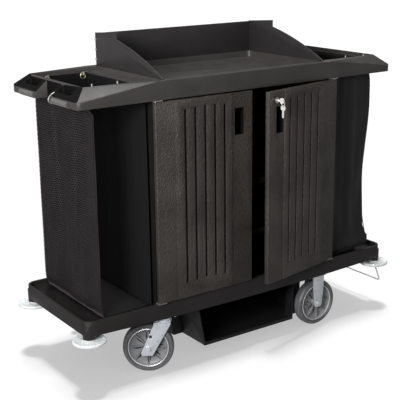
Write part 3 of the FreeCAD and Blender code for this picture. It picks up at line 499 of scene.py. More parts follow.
def turned(profile: Sequence[Sequence[float]], steps: int = 64) -> bmesh.types.BMesh:
    """A closed profile of (radius, height) turned about Z.

    Args:
        profile: the profile's corners, in order round the section.
        steps: facets in a full turn.

    Returns:
        The shape, about the origin.
    """
    bm = bmesh.new()
    ring = [bm.verts.new((radius, 0.0, height)) for radius, height in profile]
    edges = [bm.edges.new((ring[i], ring[(i + 1) % len(ring)])) for i in range(len(ring))]
    bmesh.ops.spin(bm, geom=ring + edges, cent=(0, 0, 0), axis=(0, 0, 1), angle=math.tau, steps=steps,
                   use_merge=True)
    bmesh.ops.remove_doubles(bm, verts=bm.verts, dist=1e-6)
    return bm


def put(bm: bmesh.types.BMesh, matrix: Matrix) -> bmesh.types.BMesh:
    """Moves a whole shape."""
    bmesh.ops.transform(bm, matrix=matrix, verts=bm.verts)
    return bm


def merge(target: bmesh.types.BMesh, extra: bmesh.types.BMesh) -> bmesh.types.BMesh:
    """Adds one shape to another.

    Args:
        target: the shape that grows.
        extra: the shape that is added and freed.

    Returns:
        The target.
    """
    mesh = bpy.data.meshes.new("join")
    extra.to_mesh(mesh)
    extra.free()
    target.from_mesh(mesh)
    bpy.data.meshes.remove(mesh)
    return target


def bar(size: Point, centre: Point, edge: float = 0.0008, segments: int = 2) -> bmesh.types.BMesh:
    """A block with rounded edges.

    Args:
        size: its size.
        centre: its middle.
        edge: the rounding's width.
        segments: steps in the rounding.

    Returns:
        The shape.
    """
    bm = bmesh.new()
    bmesh.ops.create_cube(bm, size=1.0)
    bmesh.ops.scale(bm, vec=size, verts=bm.verts)
    bmesh.ops.translate(bm, vec=centre, verts=bm.verts)
    bmesh.ops.bevel(bm, geom=bm.edges[:], offset=edge, segments=segments, profile=0.5, affect="EDGES", material=-1)
    return bm


def wire(points: Sequence[Point], radius: float, order: int = 3, resolution: int = 6, sides: int = 3,
         closed: bool = False) -> bmesh.types.BMesh:
    """A round wire along a smooth line.

    Args:
        points: the line's control points.
        radius: the wire's radius.
        order: the line's order; 2 gives straight runs.
        resolution: steps between points.
        sides: roundness of the wire.
        closed: True for an endless ring.

    Returns:
        The shape.
    """
    curve = bpy.data.curves.new("wire", "CURVE")
    curve.dimensions = "3D"
    curve.bevel_depth = radius
    curve.bevel_resolution = sides
    curve.use_fill_caps = True
    curve.resolution_u = resolution
    line = curve.splines.new("NURBS")
    line.points.add(len(points) - 1)
    for spot, point in zip(line.points, points):
        spot.co = (*point, 1.0)
    line.order_u = order
    line.use_endpoint_u = not closed
    line.use_cyclic_u = closed
    holder = bpy.data.objects.new("wire", curve)
    bpy.context.scene.collection.objects.link(holder)
    bpy.context.view_layer.update()
    mesh = bpy.data.meshes.new_from_object(holder.evaluated_get(bpy.context.evaluated_depsgraph_get()))
    bm = bmesh.new()
    bm.from_mesh(mesh)
    bpy.data.objects.remove(holder)
    bpy.data.curves.remove(curve)
    bpy.data.meshes.remove(mesh)
    bmesh.ops.remove_doubles(bm, verts=bm.verts, dist=1e-5)
    return bm


# ---------------------------------------------------------------- decks, cabinet and hood
@dataclass
class Decks:
    """The base deck and the top deck, with the small pieces moulded onto them."""

    finishes: Finishes
    grip_x: float = 0.7515
    grip_z: float = 1.0995
    grip_radius: float = 0.0125

    def build(self) -> None:
        """Builds both decks."""
        softened("base_deck", 0.0022, self.finishes.deck, "cart")
        # The walls of the grip holes and of the notch get painted shade.
        softened("top_deck", 0.0030, self.finishes.top, "cart", self.in_grip_hollow,
                 self.finishes.shade)
        self.build_grips()
        self.build_seams()

    @staticmethod
    def in_grip_hollow(spot: Vector) -> bool:
        """True for the walls of the hand holes and of the notch between them, which get painted shade."""
        out, side = abs(spot.x), abs(spot.y)
        hole = 0.7085 < out < 0.7390 and 0.080 < side < 0.190
        notch = 0.7085 < out < 0.7125 and side < 0.054
        return (hole or notch) and 1.091 < spot.z < 1.150

    def build_grips(self) -> None:
        """Adds the rolled hand grips at both ends and the small hook beside the front left one."""
        for end, way in (("left", -1), ("right", 1)):
            for side, sign in (("front", -1), ("rear", 1)):
                x = way * self.grip_x
                # The rolls take the lighter grip finish, a painted highlight.
                roll = wire([(x, sign * y, self.grip_z) for y in (0.078, 0.10, 0.135, 0.17, 0.194)],
                            self.grip_radius, sides=5)
                new_piece(f"grip_roll_{end}_{side}", roll, self.finishes.grip, "cart")
        arc = [(-0.002, -0.012), (0.012, -0.008), (0.015, 0.006), (0.004, 0.020), (-0.010, 0.026),
               (-0.024, 0.030)]
        hook = wire([(-self.grip_x - out, -0.066, self.grip_z + up) for out, up in arc], 0.0030)
        new_piece("grip_hook", hook, self.finishes.dark_steel, "cart")

    def build_seams(self) -> None:
        """Adds the short upright mould seams on the long fascias."""
        low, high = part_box("top_deck")
        for i, x in enumerate((-0.402, 0.424)):
            for side, y in (("front", low.y), ("rear", high.y)):
                seam = bar((0.0026, 0.0016, 0.050), (x, y, low.z + 0.034), 0.0005)
                new_piece(f"fascia_seam_{side}_{i}", seam, self.finishes.top, "cart")


@dataclass
class Cabinet:
    """Side and back panels, shelves, doors, hinges and the lock."""

    finishes: Finishes
    hinge: tuple[float, float] = (0.437, -0.2645)
    ajar: float = 11.5

    def build(self) -> None:
        """Builds the cabinet."""
        f = self.finishes
        dress(f.panel, "shelf_lower", "shelf_upper", "cabinet_back")
        for end in ("left", "right"):
            softened(f"cabinet_side_{end}", 0.0018, f.panel, "cart")
        # The left door's groove bottoms and both finger holes get painted shade.
        softened("left_door", 0.0010, f.door, "left_door", self.in_left_hollow, f.shade)
        softened("right_door", 0.0010, f.door, "right_door", self.in_right_hollow, f.shade)
        for name in ("hinge_plates_lower", "hinge_plates_upper"):
            dress(f.dark_steel, name)
        dress(f.chrome, "lock_cylinder", "lock_plug", "lock_cam")
        dress(f.dark_steel, "strike_plate")
        dress(f.key, "door_key", "key_ring", "spare_key")
        self.build_back_ribs()
        self.build_lock_face()

    @staticmethod
    def in_hollow(along: float, deep: float, level: float, width: float) -> bool:
        """Picks the bottoms of the five grooves and the walls of the finger hole, which get painted shade; the grooves
        only on the wider door.

        Args:
            along: distance from the hinge line.
            deep: distance behind the door's middle plane.
            level: height.
            width: the door's width.

        Returns:
            True inside a groove or the finger hole.
        """
        groove = 0.112 < along < 0.312 and 0.35 < level < 1.055 and -0.0095 < deep < -0.004
        hole = width - 0.0885 < along < width - 0.0425 and 0.917 < level < 1.026 and abs(deep) < 0.006
        return hole or (groove and width > 0.435)

    def in_left_hollow(self, spot: Vector) -> bool:
        """Hollows of the left door."""
        return self.in_hollow(spot.x + self.hinge[0], spot.y - self.hinge[1], spot.z, 0.4395)

    def in_right_hollow(self, spot: Vector) -> bool:
        """Hollows of the right door, which stands ajar."""
        shut = Matrix.Rotation(math.radians(-self.ajar), 3, "Z") @ (spot - Vector((*self.hinge, 0)))
        return self.in_hollow(-shut.x, shut.y, spot.z, 0.4315)

    def build_back_ribs(self) -> None:
        """Adds shallow stiffening ribs on the cabinet's back, between its side panels."""
        low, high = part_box("cabinet_back")
        for i in range(7):
            x = low.x + (high.x - low.x) * (i + 0.5) / 7
            rib = bar((0.014, 0.005, (high.z - low.z) * 0.88), (x, high.y + 0.0015, (low.z + high.z) / 2), 0.002)
            new_piece(f"back_rib_{i}", rib, self.finishes.panel, "cart")

    def build_lock_face(self) -> None:
        """Adds a rounded collar round the lock."""
        collar = turned([(0.0065, 0.0), (0.0065, 0.0016), (0.0080, 0.0024), (0.0110, 0.0020), (0.0124, 0.0006),
                         (0.0124, -0.0006)], 40)
        put(collar, Matrix.Rotation(math.radians(90), 4, "X"))
        put(collar, Matrix.Translation((-0.389, -0.0142, 1.050)))
        put(collar, Matrix.Translation((*self.hinge, 0)) @ Matrix.Rotation(math.radians(self.ajar), 4, "Z"))
        new_piece("lock_collar", collar, self.finishes.chrome, "right_door")


@dataclass
class Hood:
    """The sheet hood round the back and ends of the top tray."""

    finishes: Finishes

    def build(self) -> None:
        """Builds the hood."""
        for node in ("hood_wing_left", "hood_wing_right", "hood_back"):
            softened(node, 0.0011, self.finishes.hood, "cart")
        dress(self.finishes.zinc, "hood_screws")


# ---------------------------------------------------------------- running gear
@dataclass
class Wheel:
    """One caster wheel: tyre, ringed hub with blade spokes, and its axle bolt."""

    finishes: Finishes
    tag: str
    centre: Vector
    turn: float
    blades: int = 8
    ring: float = 0.083

    def frame_of(self) -> Matrix:
        """From the wheel's own frame, with its axle along Z, to the row frame."""
        return (Matrix.Translation(self.centre) @ Matrix.Rotation(math.radians(self.turn), 4, "Z")
                @ Matrix.Rotation(math.radians(90), 4, "X"))

    def build(self) -> None:
        """Builds the wheel."""
        body = "wheel_" + self.tag
        tyre = turned([(0.0812, -0.0150), (0.0846, -0.0156), (0.0858, -0.0188), (0.0872, -0.0208), (0.0920, -0.0210),
                       (0.0968, -0.0196), (0.0998, -0.0160), (0.1012, -0.0110), (0.1016, -0.0050), (0.1016, 0.0050),
                       (0.1012, 0.0110), (0.0998, 0.0160), (0.0968, 0.0196), (0.0920, 0.0210), (0.0872, 0.0208),
                       (0.0858, 0.0188), (0.0846, 0.0156), (0.0812, 0.0150)], 96)
        new_piece(f"tyre_{self.tag}_look", put(tyre, self.frame_of()), self.finishes.tyre, body,
                  [f"tyre_{self.tag}"])
        ring = turned([(0.0765, -0.0170), (0.0772, -0.0190), (0.0788, -0.0198), (0.0804, -0.0190), (0.0812, -0.0168),
                       (0.0812, 0.0168), (0.0804, 0.0190), (0.0788, 0.0198), (0.0772, 0.0190), (0.0765, 0.0170)], 96)
        new_piece(f"wheel_ring_{self.tag}", put(ring, self.frame_of()), self.finishes.rim, body)
        hub = turned([(0.0065, -0.0240), (0.0150, -0.0240), (0.0178, -0.0222), (0.0196, -0.0150), (0.0230, -0.0080),
                      (0.0400, -0.0045), (0.0650, -0.0060), (0.0745, -0.0120), (0.0768, -0.0165), (0.0768, 0.0165),
                      (0.0745, 0.0120), (0.0650, 0.0060), (0.0400, 0.0045), (0.0230, 0.0080), (0.0196, 0.0150),
                      (0.0178, 0.0222), (0.0150, 0.0240), (0.0065, 0.0240)], 96)
        for i in range(self.blades):
            blade = self.blade()
            put(blade, Matrix.Rotation(math.tau * i / self.blades, 4, "Z"))
            merge(hub, blade)
        new_piece(f"wheel_hub_{self.tag}_look", put(hub, self.frame_of()), self.finishes.hub, body,
                  [f"wheel_hub_{self.tag}"])
        # Dark strips beside every blade on both faces: painted shade.
        blade_shades = bmesh.new()
        for i in range(self.blades):
            for face in (-1, 1):
                blade_shade = self.blade_shade(face)
                put(blade_shade, Matrix.Rotation(math.tau * i / self.blades, 4, "Z"))
                merge(blade_shades, blade_shade)
        new_piece(f"wheel_painted_shade_{self.tag}", put(blade_shades, self.frame_of()), self.finishes.blade_shade, body)
        dress(self.finishes.zinc, f"axle_bolt_{self.tag}")

    def blade_shade(self, face: int) -> bmesh.types.BMesh:
        """A tapering dark strip beside one blade: painted shade standing for the shadow in a gap of the hub.

        Args:
            face: which face of the wheel, -1 or 1.

        Returns:
            The dark strip of painted shade, along X.
        """
        bm = bmesh.new()
        bmesh.ops.create_grid(bm, x_segments=8, y_segments=1, size=0.5)
        for vert in bm.verts:
            share = vert.co.x + 0.5
            wide = 0.0008 + 0.0042 * math.sin(math.pi * min(1.0, share * 1.15 + 0.05))
            bend = -0.0022 - 0.0045 * math.sin(math.pi * share)
            high = 0.0049 + 0.0012 * abs(share - 0.45) + 0.0035 * max(0.0, 0.25 - share) * 4
            vert.co = Vector((0.0235 + share * 0.0500, bend + vert.co.y * wide, face * high))
        bmesh.ops.solidify(bm, geom=bm.faces[:], thickness=0.0006)
        return bm

    def blade(self) -> bmesh.types.BMesh:
        """One upright blade from the boss to the ring, leaning more the further out it is.

        Returns:
            The blade, along X.
        """
        bm = bmesh.new()
        bmesh.ops.create_grid(bm, x_segments=8, y_segments=1, size=0.5)
        bmesh.ops.rotate(bm, verts=bm.verts, matrix=Matrix.Rotation(math.radians(90), 3, "X"))
        for vert in bm.verts:
            share = vert.co.x + 0.5
            reach = 0.0185 + share * 0.0575
            deep = 0.0135 + 0.0045 * math.sin(math.pi * share)
            lean = math.radians(-16 + 34 * share)
            side = vert.co.z * 2 * deep
            vert.co = Vector((reach, side * math.sin(lean) * 0.55 + 0.004 * math.sin(math.pi * share), side))
        bmesh.ops.solidify(bm, geom=bm.faces[:], thickness=0.0026)
        return bm


@dataclass
class RunningGear:
    """Casters, bumper discs, the wire bail and the shelf under the deck."""

    finishes: Finishes
    pivot: tuple[float, float] = (-0.402, 0.226)
    fixed: tuple[float, float] = (0.386, 0.226)
    axle_z: float = 0.1016
    trail: float = 0.060
    rest: float = 145.3
    bumper: tuple[float, float, float] = (0.735, 0.235, 0.215)

    def build(self) -> None:
        """Builds everything below the deck."""
        f = self.finishes
        for side, sign in (("front", -1), ("rear", 1)):
            angle = math.radians(self.rest)
            swivel = Vector((self.pivot[0] + self.trail * math.cos(angle),
                             sign * self.pivot[1] + self.trail * math.sin(angle), self.axle_z))
            Wheel(f, f"{side}_left", swivel, self.rest).build()
            Wheel(f, f"{side}_right", Vector((self.fixed[0], sign * self.fixed[1], self.axle_z)), 0.0).build()
            softened(f"swivel_fork_{side}", 0.0009, f.zinc, f"swivel_{side}")
            softened(f"rigid_fork_{side}", 0.0009, f.zinc, "cart")
            dress(f.zinc, f"swivel_plate_{side}")
            for end, way in (("left", -1), ("right", 1)):
                self.build_disc(side, end, Vector((way * self.bumper[0], sign * self.bumper[1], self.bumper[2])))
        dress(f.zinc, "caster_bolts", "under_shelf_bolts", "bumper_bolts", "wire_bail")
        softened("under_shelf", 0.0016, f.tray, "cart")

    def build_disc(self, side: str, end: str, centre: Vector) -> None:
        """One dished bumper disc with a rolled rim and a hub.

        Args:
            side: front or rear.
            end: left or right.
            centre: its middle.
        """
        disc = turned([(0.0061, -0.0085), (0.0180, -0.0085), (0.0205, -0.0070), (0.0225, -0.0030), (0.0300, -0.0010),
                       (0.0450, -0.0016), (0.0520, -0.0050), (0.0560, -0.0062), (0.0610, -0.0058), (0.0640, -0.0036),
                       (0.0650, 0.0000), (0.0640, 0.0036), (0.0610, 0.0058), (0.0560, 0.0060), (0.0520, 0.0044),
                       (0.0450, 0.0022), (0.0300, 0.0028), (0.0225, 0.0052), (0.0205, 0.0082), (0.0180, 0.0095),
                       (0.0061, 0.0095)], 72)
        put(disc, Matrix.Translation(centre))
        new_piece(f"bumper_disc_{side}_{end}_look", disc, self.finishes.disc, f"bumper_{side}_{end}",
                  [f"bumper_disc_{side}_{end}"])


# ---------------------------------------------------------------- bags
def let_hang(piece: bpy.types.Object, pinned: Callable[[Vector], float], slack: float, furthest: float,
             frames: int = 22) -> None:
    """Lets a cloth settle under its own weight, with a little spare length, and keeps the result.

    Args:
        piece: the cloth, one layer.
        pinned: how firmly a point is held, from 0 to 1.
        slack: spare cloth as a share of its size.
        furthest: how far a point may move, in metres.
        frames: steps to run.
    """
    scene = bpy.context.scene
    start = [v.co.copy() for v in piece.data.vertices]
    group = piece.vertex_groups.new(name="held")
    for i, co in enumerate(start):
        group.add([i], pinned(co), "REPLACE")
    cloth = piece.modifiers.new("Cloth", "CLOTH")
    settings = cloth.settings
    settings.vertex_group_mass = "held"
    settings.quality = 6
    settings.mass = 0.2
    settings.tension_stiffness = 18
    settings.compression_stiffness = 18
    settings.shear_stiffness = 6
    settings.bending_stiffness = 0.9
    settings.shrink_min = -slack
    cloth.collision_settings.use_collision = False
    cloth.point_cache.frame_start = 1
    cloth.point_cache.frame_end = frames
    for number in range(1, frames + 1):
        scene.frame_set(number)
    view = piece.evaluated_get(bpy.context.evaluated_depsgraph_get())
    settled = [v.co.copy() for v in view.data.vertices]
    piece.modifiers.remove(cloth)
    piece.vertex_groups.clear()
    scene.frame_set(1)
    for vert, before, after in zip(piece.data.vertices, start, settled):
        step = after - before
        if step.length > furthest:
            step *= furthest / step.length
        vert.co = before + step
    piece.data.update()


def lofted(path: Sequence[tuple[float, float]], levels: Sequence[float],
           shape: Callable[[Vector, float, float], Vector], closed: bool) -> bmesh.types.BMesh:
    """A cloth wall raised from a plan line, level by level.

    Args:
        path: the plan line's points.
        levels: heights from the foot up.
        shape: moves a point, given its plan place, its height and its distance along the line.
        closed: True where the line meets itself.

    Returns:
        The wall, one layer, with its flat cut as UV in metres.
    """
    bm = bmesh.new()
    layer = bm.loops.layers.uv.new("Cut")
    runs = [0.0]
    for a, b in zip(path, path[1:]):
        runs.append(runs[-1] + math.dist(a, b))
    row = [bm.verts.new((x, y, levels[0])) for x, y in path]
    edges = [bm.edges.new(pair) for pair in zip(row, row[1:])]
    if closed:
        edges.append(bm.edges.new((row[-1], row[0])))
        runs.append(runs[-1] + math.dist(path[-1], path[0]))
    place = {vert: (run, levels[0]) for vert, run in zip(row, runs)}
    for below, above in zip(levels, levels[1:]):
        grown = bmesh.ops.extrude_edge_only(bm, edges=edges)["geom"]
        verts = [g for g in grown if isinstance(g, bmesh.types.BMVert)]
        bmesh.ops.translate(bm, vec=(0, 0, above - below), verts=verts)
        edges = [g for g in grown if isinstance(g, bmesh.types.BMEdge)]
        nearest = {(round(x, 6), round(y, 6)): run for (x, y), run in zip(path, runs)}
        for vert in verts:
            place[vert] = (nearest[(round(vert.co.x, 6), round(vert.co.y, 6))], above)
    for face in bm.faces:
        spots = [place[loop.vert] for loop in face.loops]
        far = max(run for run, _ in spots)
        for loop, (run, level) in zip(face.loops, spots):
            wrapped = closed and far - run > runs[-1] / 2
            loop[layer].uv = (runs[-1] if wrapped else run, level)
    for vert, (run, level) in place.items():
        vert.co = shape(Vector((vert.co.x, vert.co.y, 0)), level, run)
    return bm


def rounded_path(xs: tuple[float, float], ys: tuple[float, float], corner: float, step: float
                 ) -> list[tuple[float, float]]:
    """Points round a rectangle with rounded corners, anticlockwise from the middle of its front.

    Args:
        xs: its ends along X.
        ys: its ends along Y.
        corner: the corners' radius.
        step: spacing of the points.

    Returns:
        The points.
    """
    points: list[tuple[float, float]] = []
    spots = [(xs[1] - corner, ys[0] + corner, -90), (xs[1] - corner, ys[1] - corner, 0),
             (xs[0] + corner, ys[1] - corner, 90), (xs[0] + corner, ys[0] + corner, 180)]
    middle = ((xs[0] + xs[1]) / 2, ys[0])
    line = [middle]
    for x, y, start in spots:
        for k in range(5):
            angle = math.radians(start + 22.5 * k)
            line.append((x + corner * math.cos(angle), y + corner * math.sin(angle)))
    line.append(middle)
    for a, b in zip(line, line[1:]):
        count = max(1, round(math.dist(a, b) / step))
        points += [(a[0] + (b[0] - a[0]) * i / count, a[1] + (b[1] - a[1]) * i / count) for i in range(count)]
    return points


def ripple(run: float, level: float, seed: float, width: float) -> float:
    """Uneven upright folds, from -1 to 1.

    Args:
        run: distance along the cloth.
        level: height.
        seed: which pattern.
        width: width of a fold.

    Returns:
        The fold's height.
    """
    broad = noise.noise(Vector((run / width, level * 0.9, seed)))
    sharp = noise.noise(Vector((run / width * 2.3, level * 1.3, seed + 7.0)))
    return max(-1.0, min(1.0, broad * 1.5 + sharp * 0.6))


@dataclass
class Bag:
    """What both hung bags share: the neck in the deck's mouth, the fall of the cloth and the hem."""

    finishes: Finishes
    way: int
    inner: float = 0.4585
    outer: float = 0.6765
    half: float = 0.2290
    neck_outer: float = 0.6935
    neck_half: float = 0.2140
    floor: float = 0.2858
    shoulder: float = 1.088
    hem: float = 1.1455
    corner: float = 0.016

    def side(self) -> str:
        """The bag's end of the cart."""
        return "left" if self.way < 0 else "right"

    def neck(self, point: Vector, level: float) -> Vector:
        """Draws a point in towards the mouth above the shoulder.

        Args:
            point: the point's place in plan.
            level: its height.

        Returns:
            The point at that height.
        """
        rise = max(0.0, min(1.0, (level - (self.shoulder - 0.022)) / 0.022))
        rise = rise * rise * (3 - 2 * rise)
        y = point.y * (1 + (self.neck_half / self.half - 1) * rise)
        out = abs(point.x)
        share = max(0.0, (out - self.inner) / (self.outer - self.inner))
        x = self.way * (out + (self.neck_outer - self.outer - 0.003) * rise * share)
        return Vector((x, y, level))

    def levels(self, step: float = 0.017) -> list[float]:
        """Heights from the floor to the hem."""
        count = round((self.hem - self.floor) / step)
        return [self.floor + (self.hem - self.floor) * i / count for i in range(count + 1)]

    def build_hem(self) -> None:
        """Adds the rolled hem round the mouth and its grommets."""
        path = [(self.way * x, y) for x, y in rounded_path((self.inner + 0.001, self.neck_outer - 0.004),
                                                            (-self.neck_half, self.neck_half), 0.014, 0.03)]
        hem = wire([(x, y, self.hem - 0.002) for x, y in path], 0.0026, sides=2, closed=True)
        new_piece(f"bag_hem_{self.side()}", hem, self.finishes.tape, "cart")

    def settle_cloth(self, piece: bpy.types.Object, slack: float, furthest: float) -> None:
        """Hangs a wall by its neck, with its foot resting on the deck.

        Args:
            piece: the wall.
            slack: spare cloth.
            furthest: how far a point may move.
        """
        def pinned(co: Vector) -> float:
            """Held at the neck and at the foot."""
            if co.z > self.shoulder - 0.012 or co.z < self.floor + 0.02:
                return 1.0
            return 0.0

        let_hang(piece, pinned, slack, furthest)


@dataclass
class ClosedBag(Bag):
    """The right bag: one tube of coated nylon with a bottom."""

    outer: float = 0.6885

    def shape(self, point: Vector, level: float, run: float) -> Vector:
        """The hung shape: drawn in at the waist, full and rounded at the foot, with long folds."""
        spot = self.neck(point, level)
        middle = Vector((self.way * (self.inner + self.outer) / 2, 0, level))
        out = spot - middle
        high = (level - self.floor) / (self.shoulder - self.floor)
        waist = math.exp(-((high - 0.45) / 0.3) ** 2)
        foot = math.exp(-((high - 0.07) / 0.055) ** 2)
        tuck = max(0.0, 1 - high / 0.035) ** 2
        free = max(0.0, min(1.0, abs(spot.x) / 0.46 - 1.0) * 6)
        amount = -0.011 * waist + 0.005 * foot - 0.016 * tuck
        fold = 0.0048 * ripple(run, level, 3.0, 0.055) * min(1.0, (1.0 - high) * 4 + 0.25) * (0.25 + 0.75 * free)
        step = out.normalized() * (amount * (0.15 + 0.85 * free) + fold)
        moved = spot + step
        if abs(moved.x) < self.inner:
            moved.x = self.way * self.inner
        return moved

    def build(self) -> None:
        """Builds the bag."""
        path = [(self.way * x, y) for x, y in rounded_path((self.inner, self.outer), (-self.half, self.half),
                                                            self.corner, 0.0125)]
        wall = lofted(path, self.levels(), self.shape, True)
        foot = [e for e in wall.edges if e.is_boundary and max(v.co.z for v in e.verts) < self.floor + 0.004]
        base = bmesh.ops.extrude_edge_only(wall, edges=foot)["geom"]
        verts = [g for g in base if isinstance(g, bmesh.types.BMVert)]
        centre = Vector((self.way * (self.inner + self.outer) / 2, 0, self.floor + 0.001))
        for vert in verts:
            vert.co = centre + Vector(((vert.co.x - centre.x) * 0.35, (vert.co.y - centre.y) * 0.7, 0))
        bmesh.ops.contextual_create(wall, geom=[g for g in base if isinstance(g, bmesh.types.BMEdge)
                                                and g.is_boundary])
        piece = new_piece("bag_right_cloth", wall, self.finishes.nylon, "cart", ["bag_right"], 60.0)
        self.settle_cloth(piece, 0.020, 0.009)
        thick = piece.modifiers.new("Thickness", "SOLIDIFY")
        thick.thickness = 0.0011
        self.build_hem()
        self.build_seams()

    def build_seams(self) -> None:
        """Adds the folded corner seams at the bag's outer corners."""
        for side, sign in (("front", -1), ("rear", 1)):
            line = [self.shape(Vector((self.way * (self.outer - 0.004), sign * (self.half - 0.004), 0)), level, 0.35)
                    for level in self.levels(0.05)[:-2]]
            seam = wire([tuple(p + Vector((self.way * 0.001, sign * 0.001, 0))) for p in line], 0.0017, sides=2)
            new_piece(f"bag_right_seam_{side}", seam, self.finishes.tape, "cart")


@dataclass
class OpenBag(Bag):
    """The left bag: a net end panel, dark walls behind, and a front left open between bindings."""

    creases: tuple[tuple[float, float, float], ...] = ((0.045, 0.20, 0.9), (0.075, 0.060, 0.95), (-0.10, -0.03, 0.9))

    def shape_net(self, point: Vector, level: float, run: float) -> Vector:
        """The end panel: gently drawn in between its corners, with broad upright folds."""
        spot = self.neck(point, level)
        high = (level - self.floor) / (self.shoulder - self.floor)
        across = 1 - (abs(point.y) / self.half) ** 4
        fold = 0.0075 * ripple(run, level, 11.0, 0.085) * across * min(1.0, max(0.0, 1.02 - high) * 5)
        for top, foot_at, reach in self.creases:
            line = foot_at + (top - foot_at) * high
            fold += 0.018 * math.exp(-((point.y - line) / 0.013) ** 2) * math.sin(math.pi * min(1.0, high * reach))
        foot = 0.012 * max(0.0, 1 - high / 0.06) ** 2
        sag = 0.004 * math.sin(math.pi * min(1.0, max(0.0, high))) * across
        return spot + Vector((-self.way * (foot + sag + 0.002) + self.way * fold * 0.7, 0, 0))

    def shape_wall(self, point: Vector, level: float, run: float) -> Vector:
        """The back and inner walls: slack cloth with small folds, kept off the cabinet."""
        spot = self.neck(point, level)
        high = (level - self.floor) / (self.shoulder - self.floor)
        fold = 0.0045 * (ripple(run, level, 23.0, 0.07) - 0.6) * min(1.0, max(0.0, 1.02 - high) * 5)
        back = abs(point.y) > self.half - 0.02
        return spot + (Vector((0, fold, 0)) if back else Vector((self.way * -fold, 0, 0)))

    def build(self) -> None:
        """Builds the bag."""
        f = self.finishes
        rows = self.levels(0.015)
        count = 60
        end = [(self.way * self.outer, -self.half + 2 * self.half * i / count) for i in range(count + 1)]
        net = lofted(end, rows, self.shape_net, False)
        net_piece = new_piece("bag_left_net", net, f.net, "cart", ["bag_left"], 60.0, False)
        self.settle_cloth(net_piece, 0.012, 0.007)
        bindings = [self.build_binding("front", -1, 0.020), self.build_binding("rear", 1, 0.012)]
        back = [(self.way * (self.outer - (self.outer - self.inner) * i / 20), self.half) for i in range(21)]
        inner = [(self.way * self.inner, self.half - 2 * self.half * i / count) for i in range(1, count + 1)]
        wall = lofted(back + inner, rows, self.shape_wall, False)
        liner = new_piece("bag_left_liner", wall, f.liner, "cart", (), 60.0, False)
        thick = liner.modifiers.new("Thickness", "SOLIDIFY")
        thick.thickness = 0.0010
        self.build_floor()
        self.build_hem()

    def build_binding(self, side: str, sign: int, width: float) -> bpy.types.Object:
        """A folded tape down one edge of the net panel.

        Args:
            side: front or rear.
            sign: -1 for the front edge.
            width: the tape's width.

        Returns:
            The piece.
        """
        line = []
        for level in self.levels(0.03):
            spot = self.shape_net(Vector((self.way * self.outer, sign * self.half, 0)), level, 0.0)
            line.append(spot + Vector((0, 0.0015 * math.sin(level * 21), 0)))
        bm = bmesh.new()
        layer = bm.loops.layers.uv.new("Cut")
        spots = [Vector((self.way * 0.0016, 0, 0)), Vector((self.way * 0.0016, -sign * width, 0))]
        edge = [bm.verts.new(line[0] + s) for s in spots]
        edges = [bm.edges.new(edge)]
        for before, after in zip(line, line[1:]):
            grown = bmesh.ops.extrude_edge_only(bm, edges=edges)["geom"]
            verts = [g for g in grown if isinstance(g, bmesh.types.BMVert)]
            edges = [g for g in grown if isinstance(g, bmesh.types.BMEdge)]
            bmesh.ops.translate(bm, vec=after - before, verts=verts)
        bmesh.ops.solidify(bm, geom=bm.faces[:], thickness=0.0024)
        for face in bm.faces:
            for loop in face.loops:
                loop[layer].uv = (loop.vert.co.y, loop.vert.co.z)
        return new_piece(f"bag_left_binding_{side}", bm, self.finishes.tape, "cart")

    def build_floor(self) -> None:
        """Adds the bag's sagging floor and the gathered binding where it meets the net."""
        bm = bmesh.new()
        bmesh.ops.create_grid(bm, x_segments=14, y_segments=26, size=0.5)
        layer = bm.loops.layers.uv.new("Cut")
        middle = self.way * (self.inner + self.outer) / 2
        for vert in bm.verts:
            wave = 0.0016 * noise.noise(Vector((vert.co.x * 9, vert.co.y * 14, 4.0)))
            vert.co = Vector((middle + vert.co.x * (self.outer - self.inner - 0.016), vert.co.y * 2 * (self.half - 0.004),
                              self.floor + 0.0022 + wave))
        for face in bm.faces:
            for loop in face.loops:
                loop[layer].uv = (loop.vert.co.x, loop.vert.co.y)
        bmesh.ops.solidify(bm, geom=bm.faces[:], thickness=0.0012)
        base = new_piece("bag_left_floor", bm, self.finishes.liner, "cart")
        x = self.way * (self.outer - 0.011)
        points = []
        for i in range(24):
            y = -self.half + 0.004 + (2 * self.half - 0.008) * i / 23
            gather = 0.0028 * noise.noise(Vector((y * 38, 2.0, 1.0)))
            points.append((x + gather, y, self.floor + 0.008 + abs(gather)))
        roll = wire(points, 0.0055, sides=2)
        new_piece("bag_left_foot_roll", roll, self.finishes.tape, "cart")


@dataclass
class BagFittings:
    """Steel hooks in the deck's mouths and the brass grommets that hang on them."""

    finishes: Finishes
    eye_z: float = 1.131
    wall_y: float = 0.2125
    spots: tuple[tuple[int, tuple[float, float]], ...] = ((-1, (0.556, 0.660)), (1, (0.476, 0.632)))

    def build(self) -> None:
        """Builds the grommets and dresses the hooks."""
        dress(self.finishes.dark_steel, "bag_hooks")
        rings = bmesh.new()
        for way in (-1, 1):
            for sign, xs in self.spots:
                for x in xs:
                    ring = turned([(0.0086, -0.0006), (0.0094, 0.0016), (0.0114, 0.0026), (0.0134, 0.0014),
                                   (0.0140, -0.0006)], 40)
                    turn = Matrix.Rotation(math.radians(90 if sign > 0 else -90), 4, "X")
                    put(ring, Matrix.Translation((way * x, sign * (self.wall_y - 0.0015), self.eye_z)) @ turn)
                    merge(rings, ring)
        new_piece("bag_grommets_look", rings, self.finishes.brass, "cart", ["bag_grommets"])


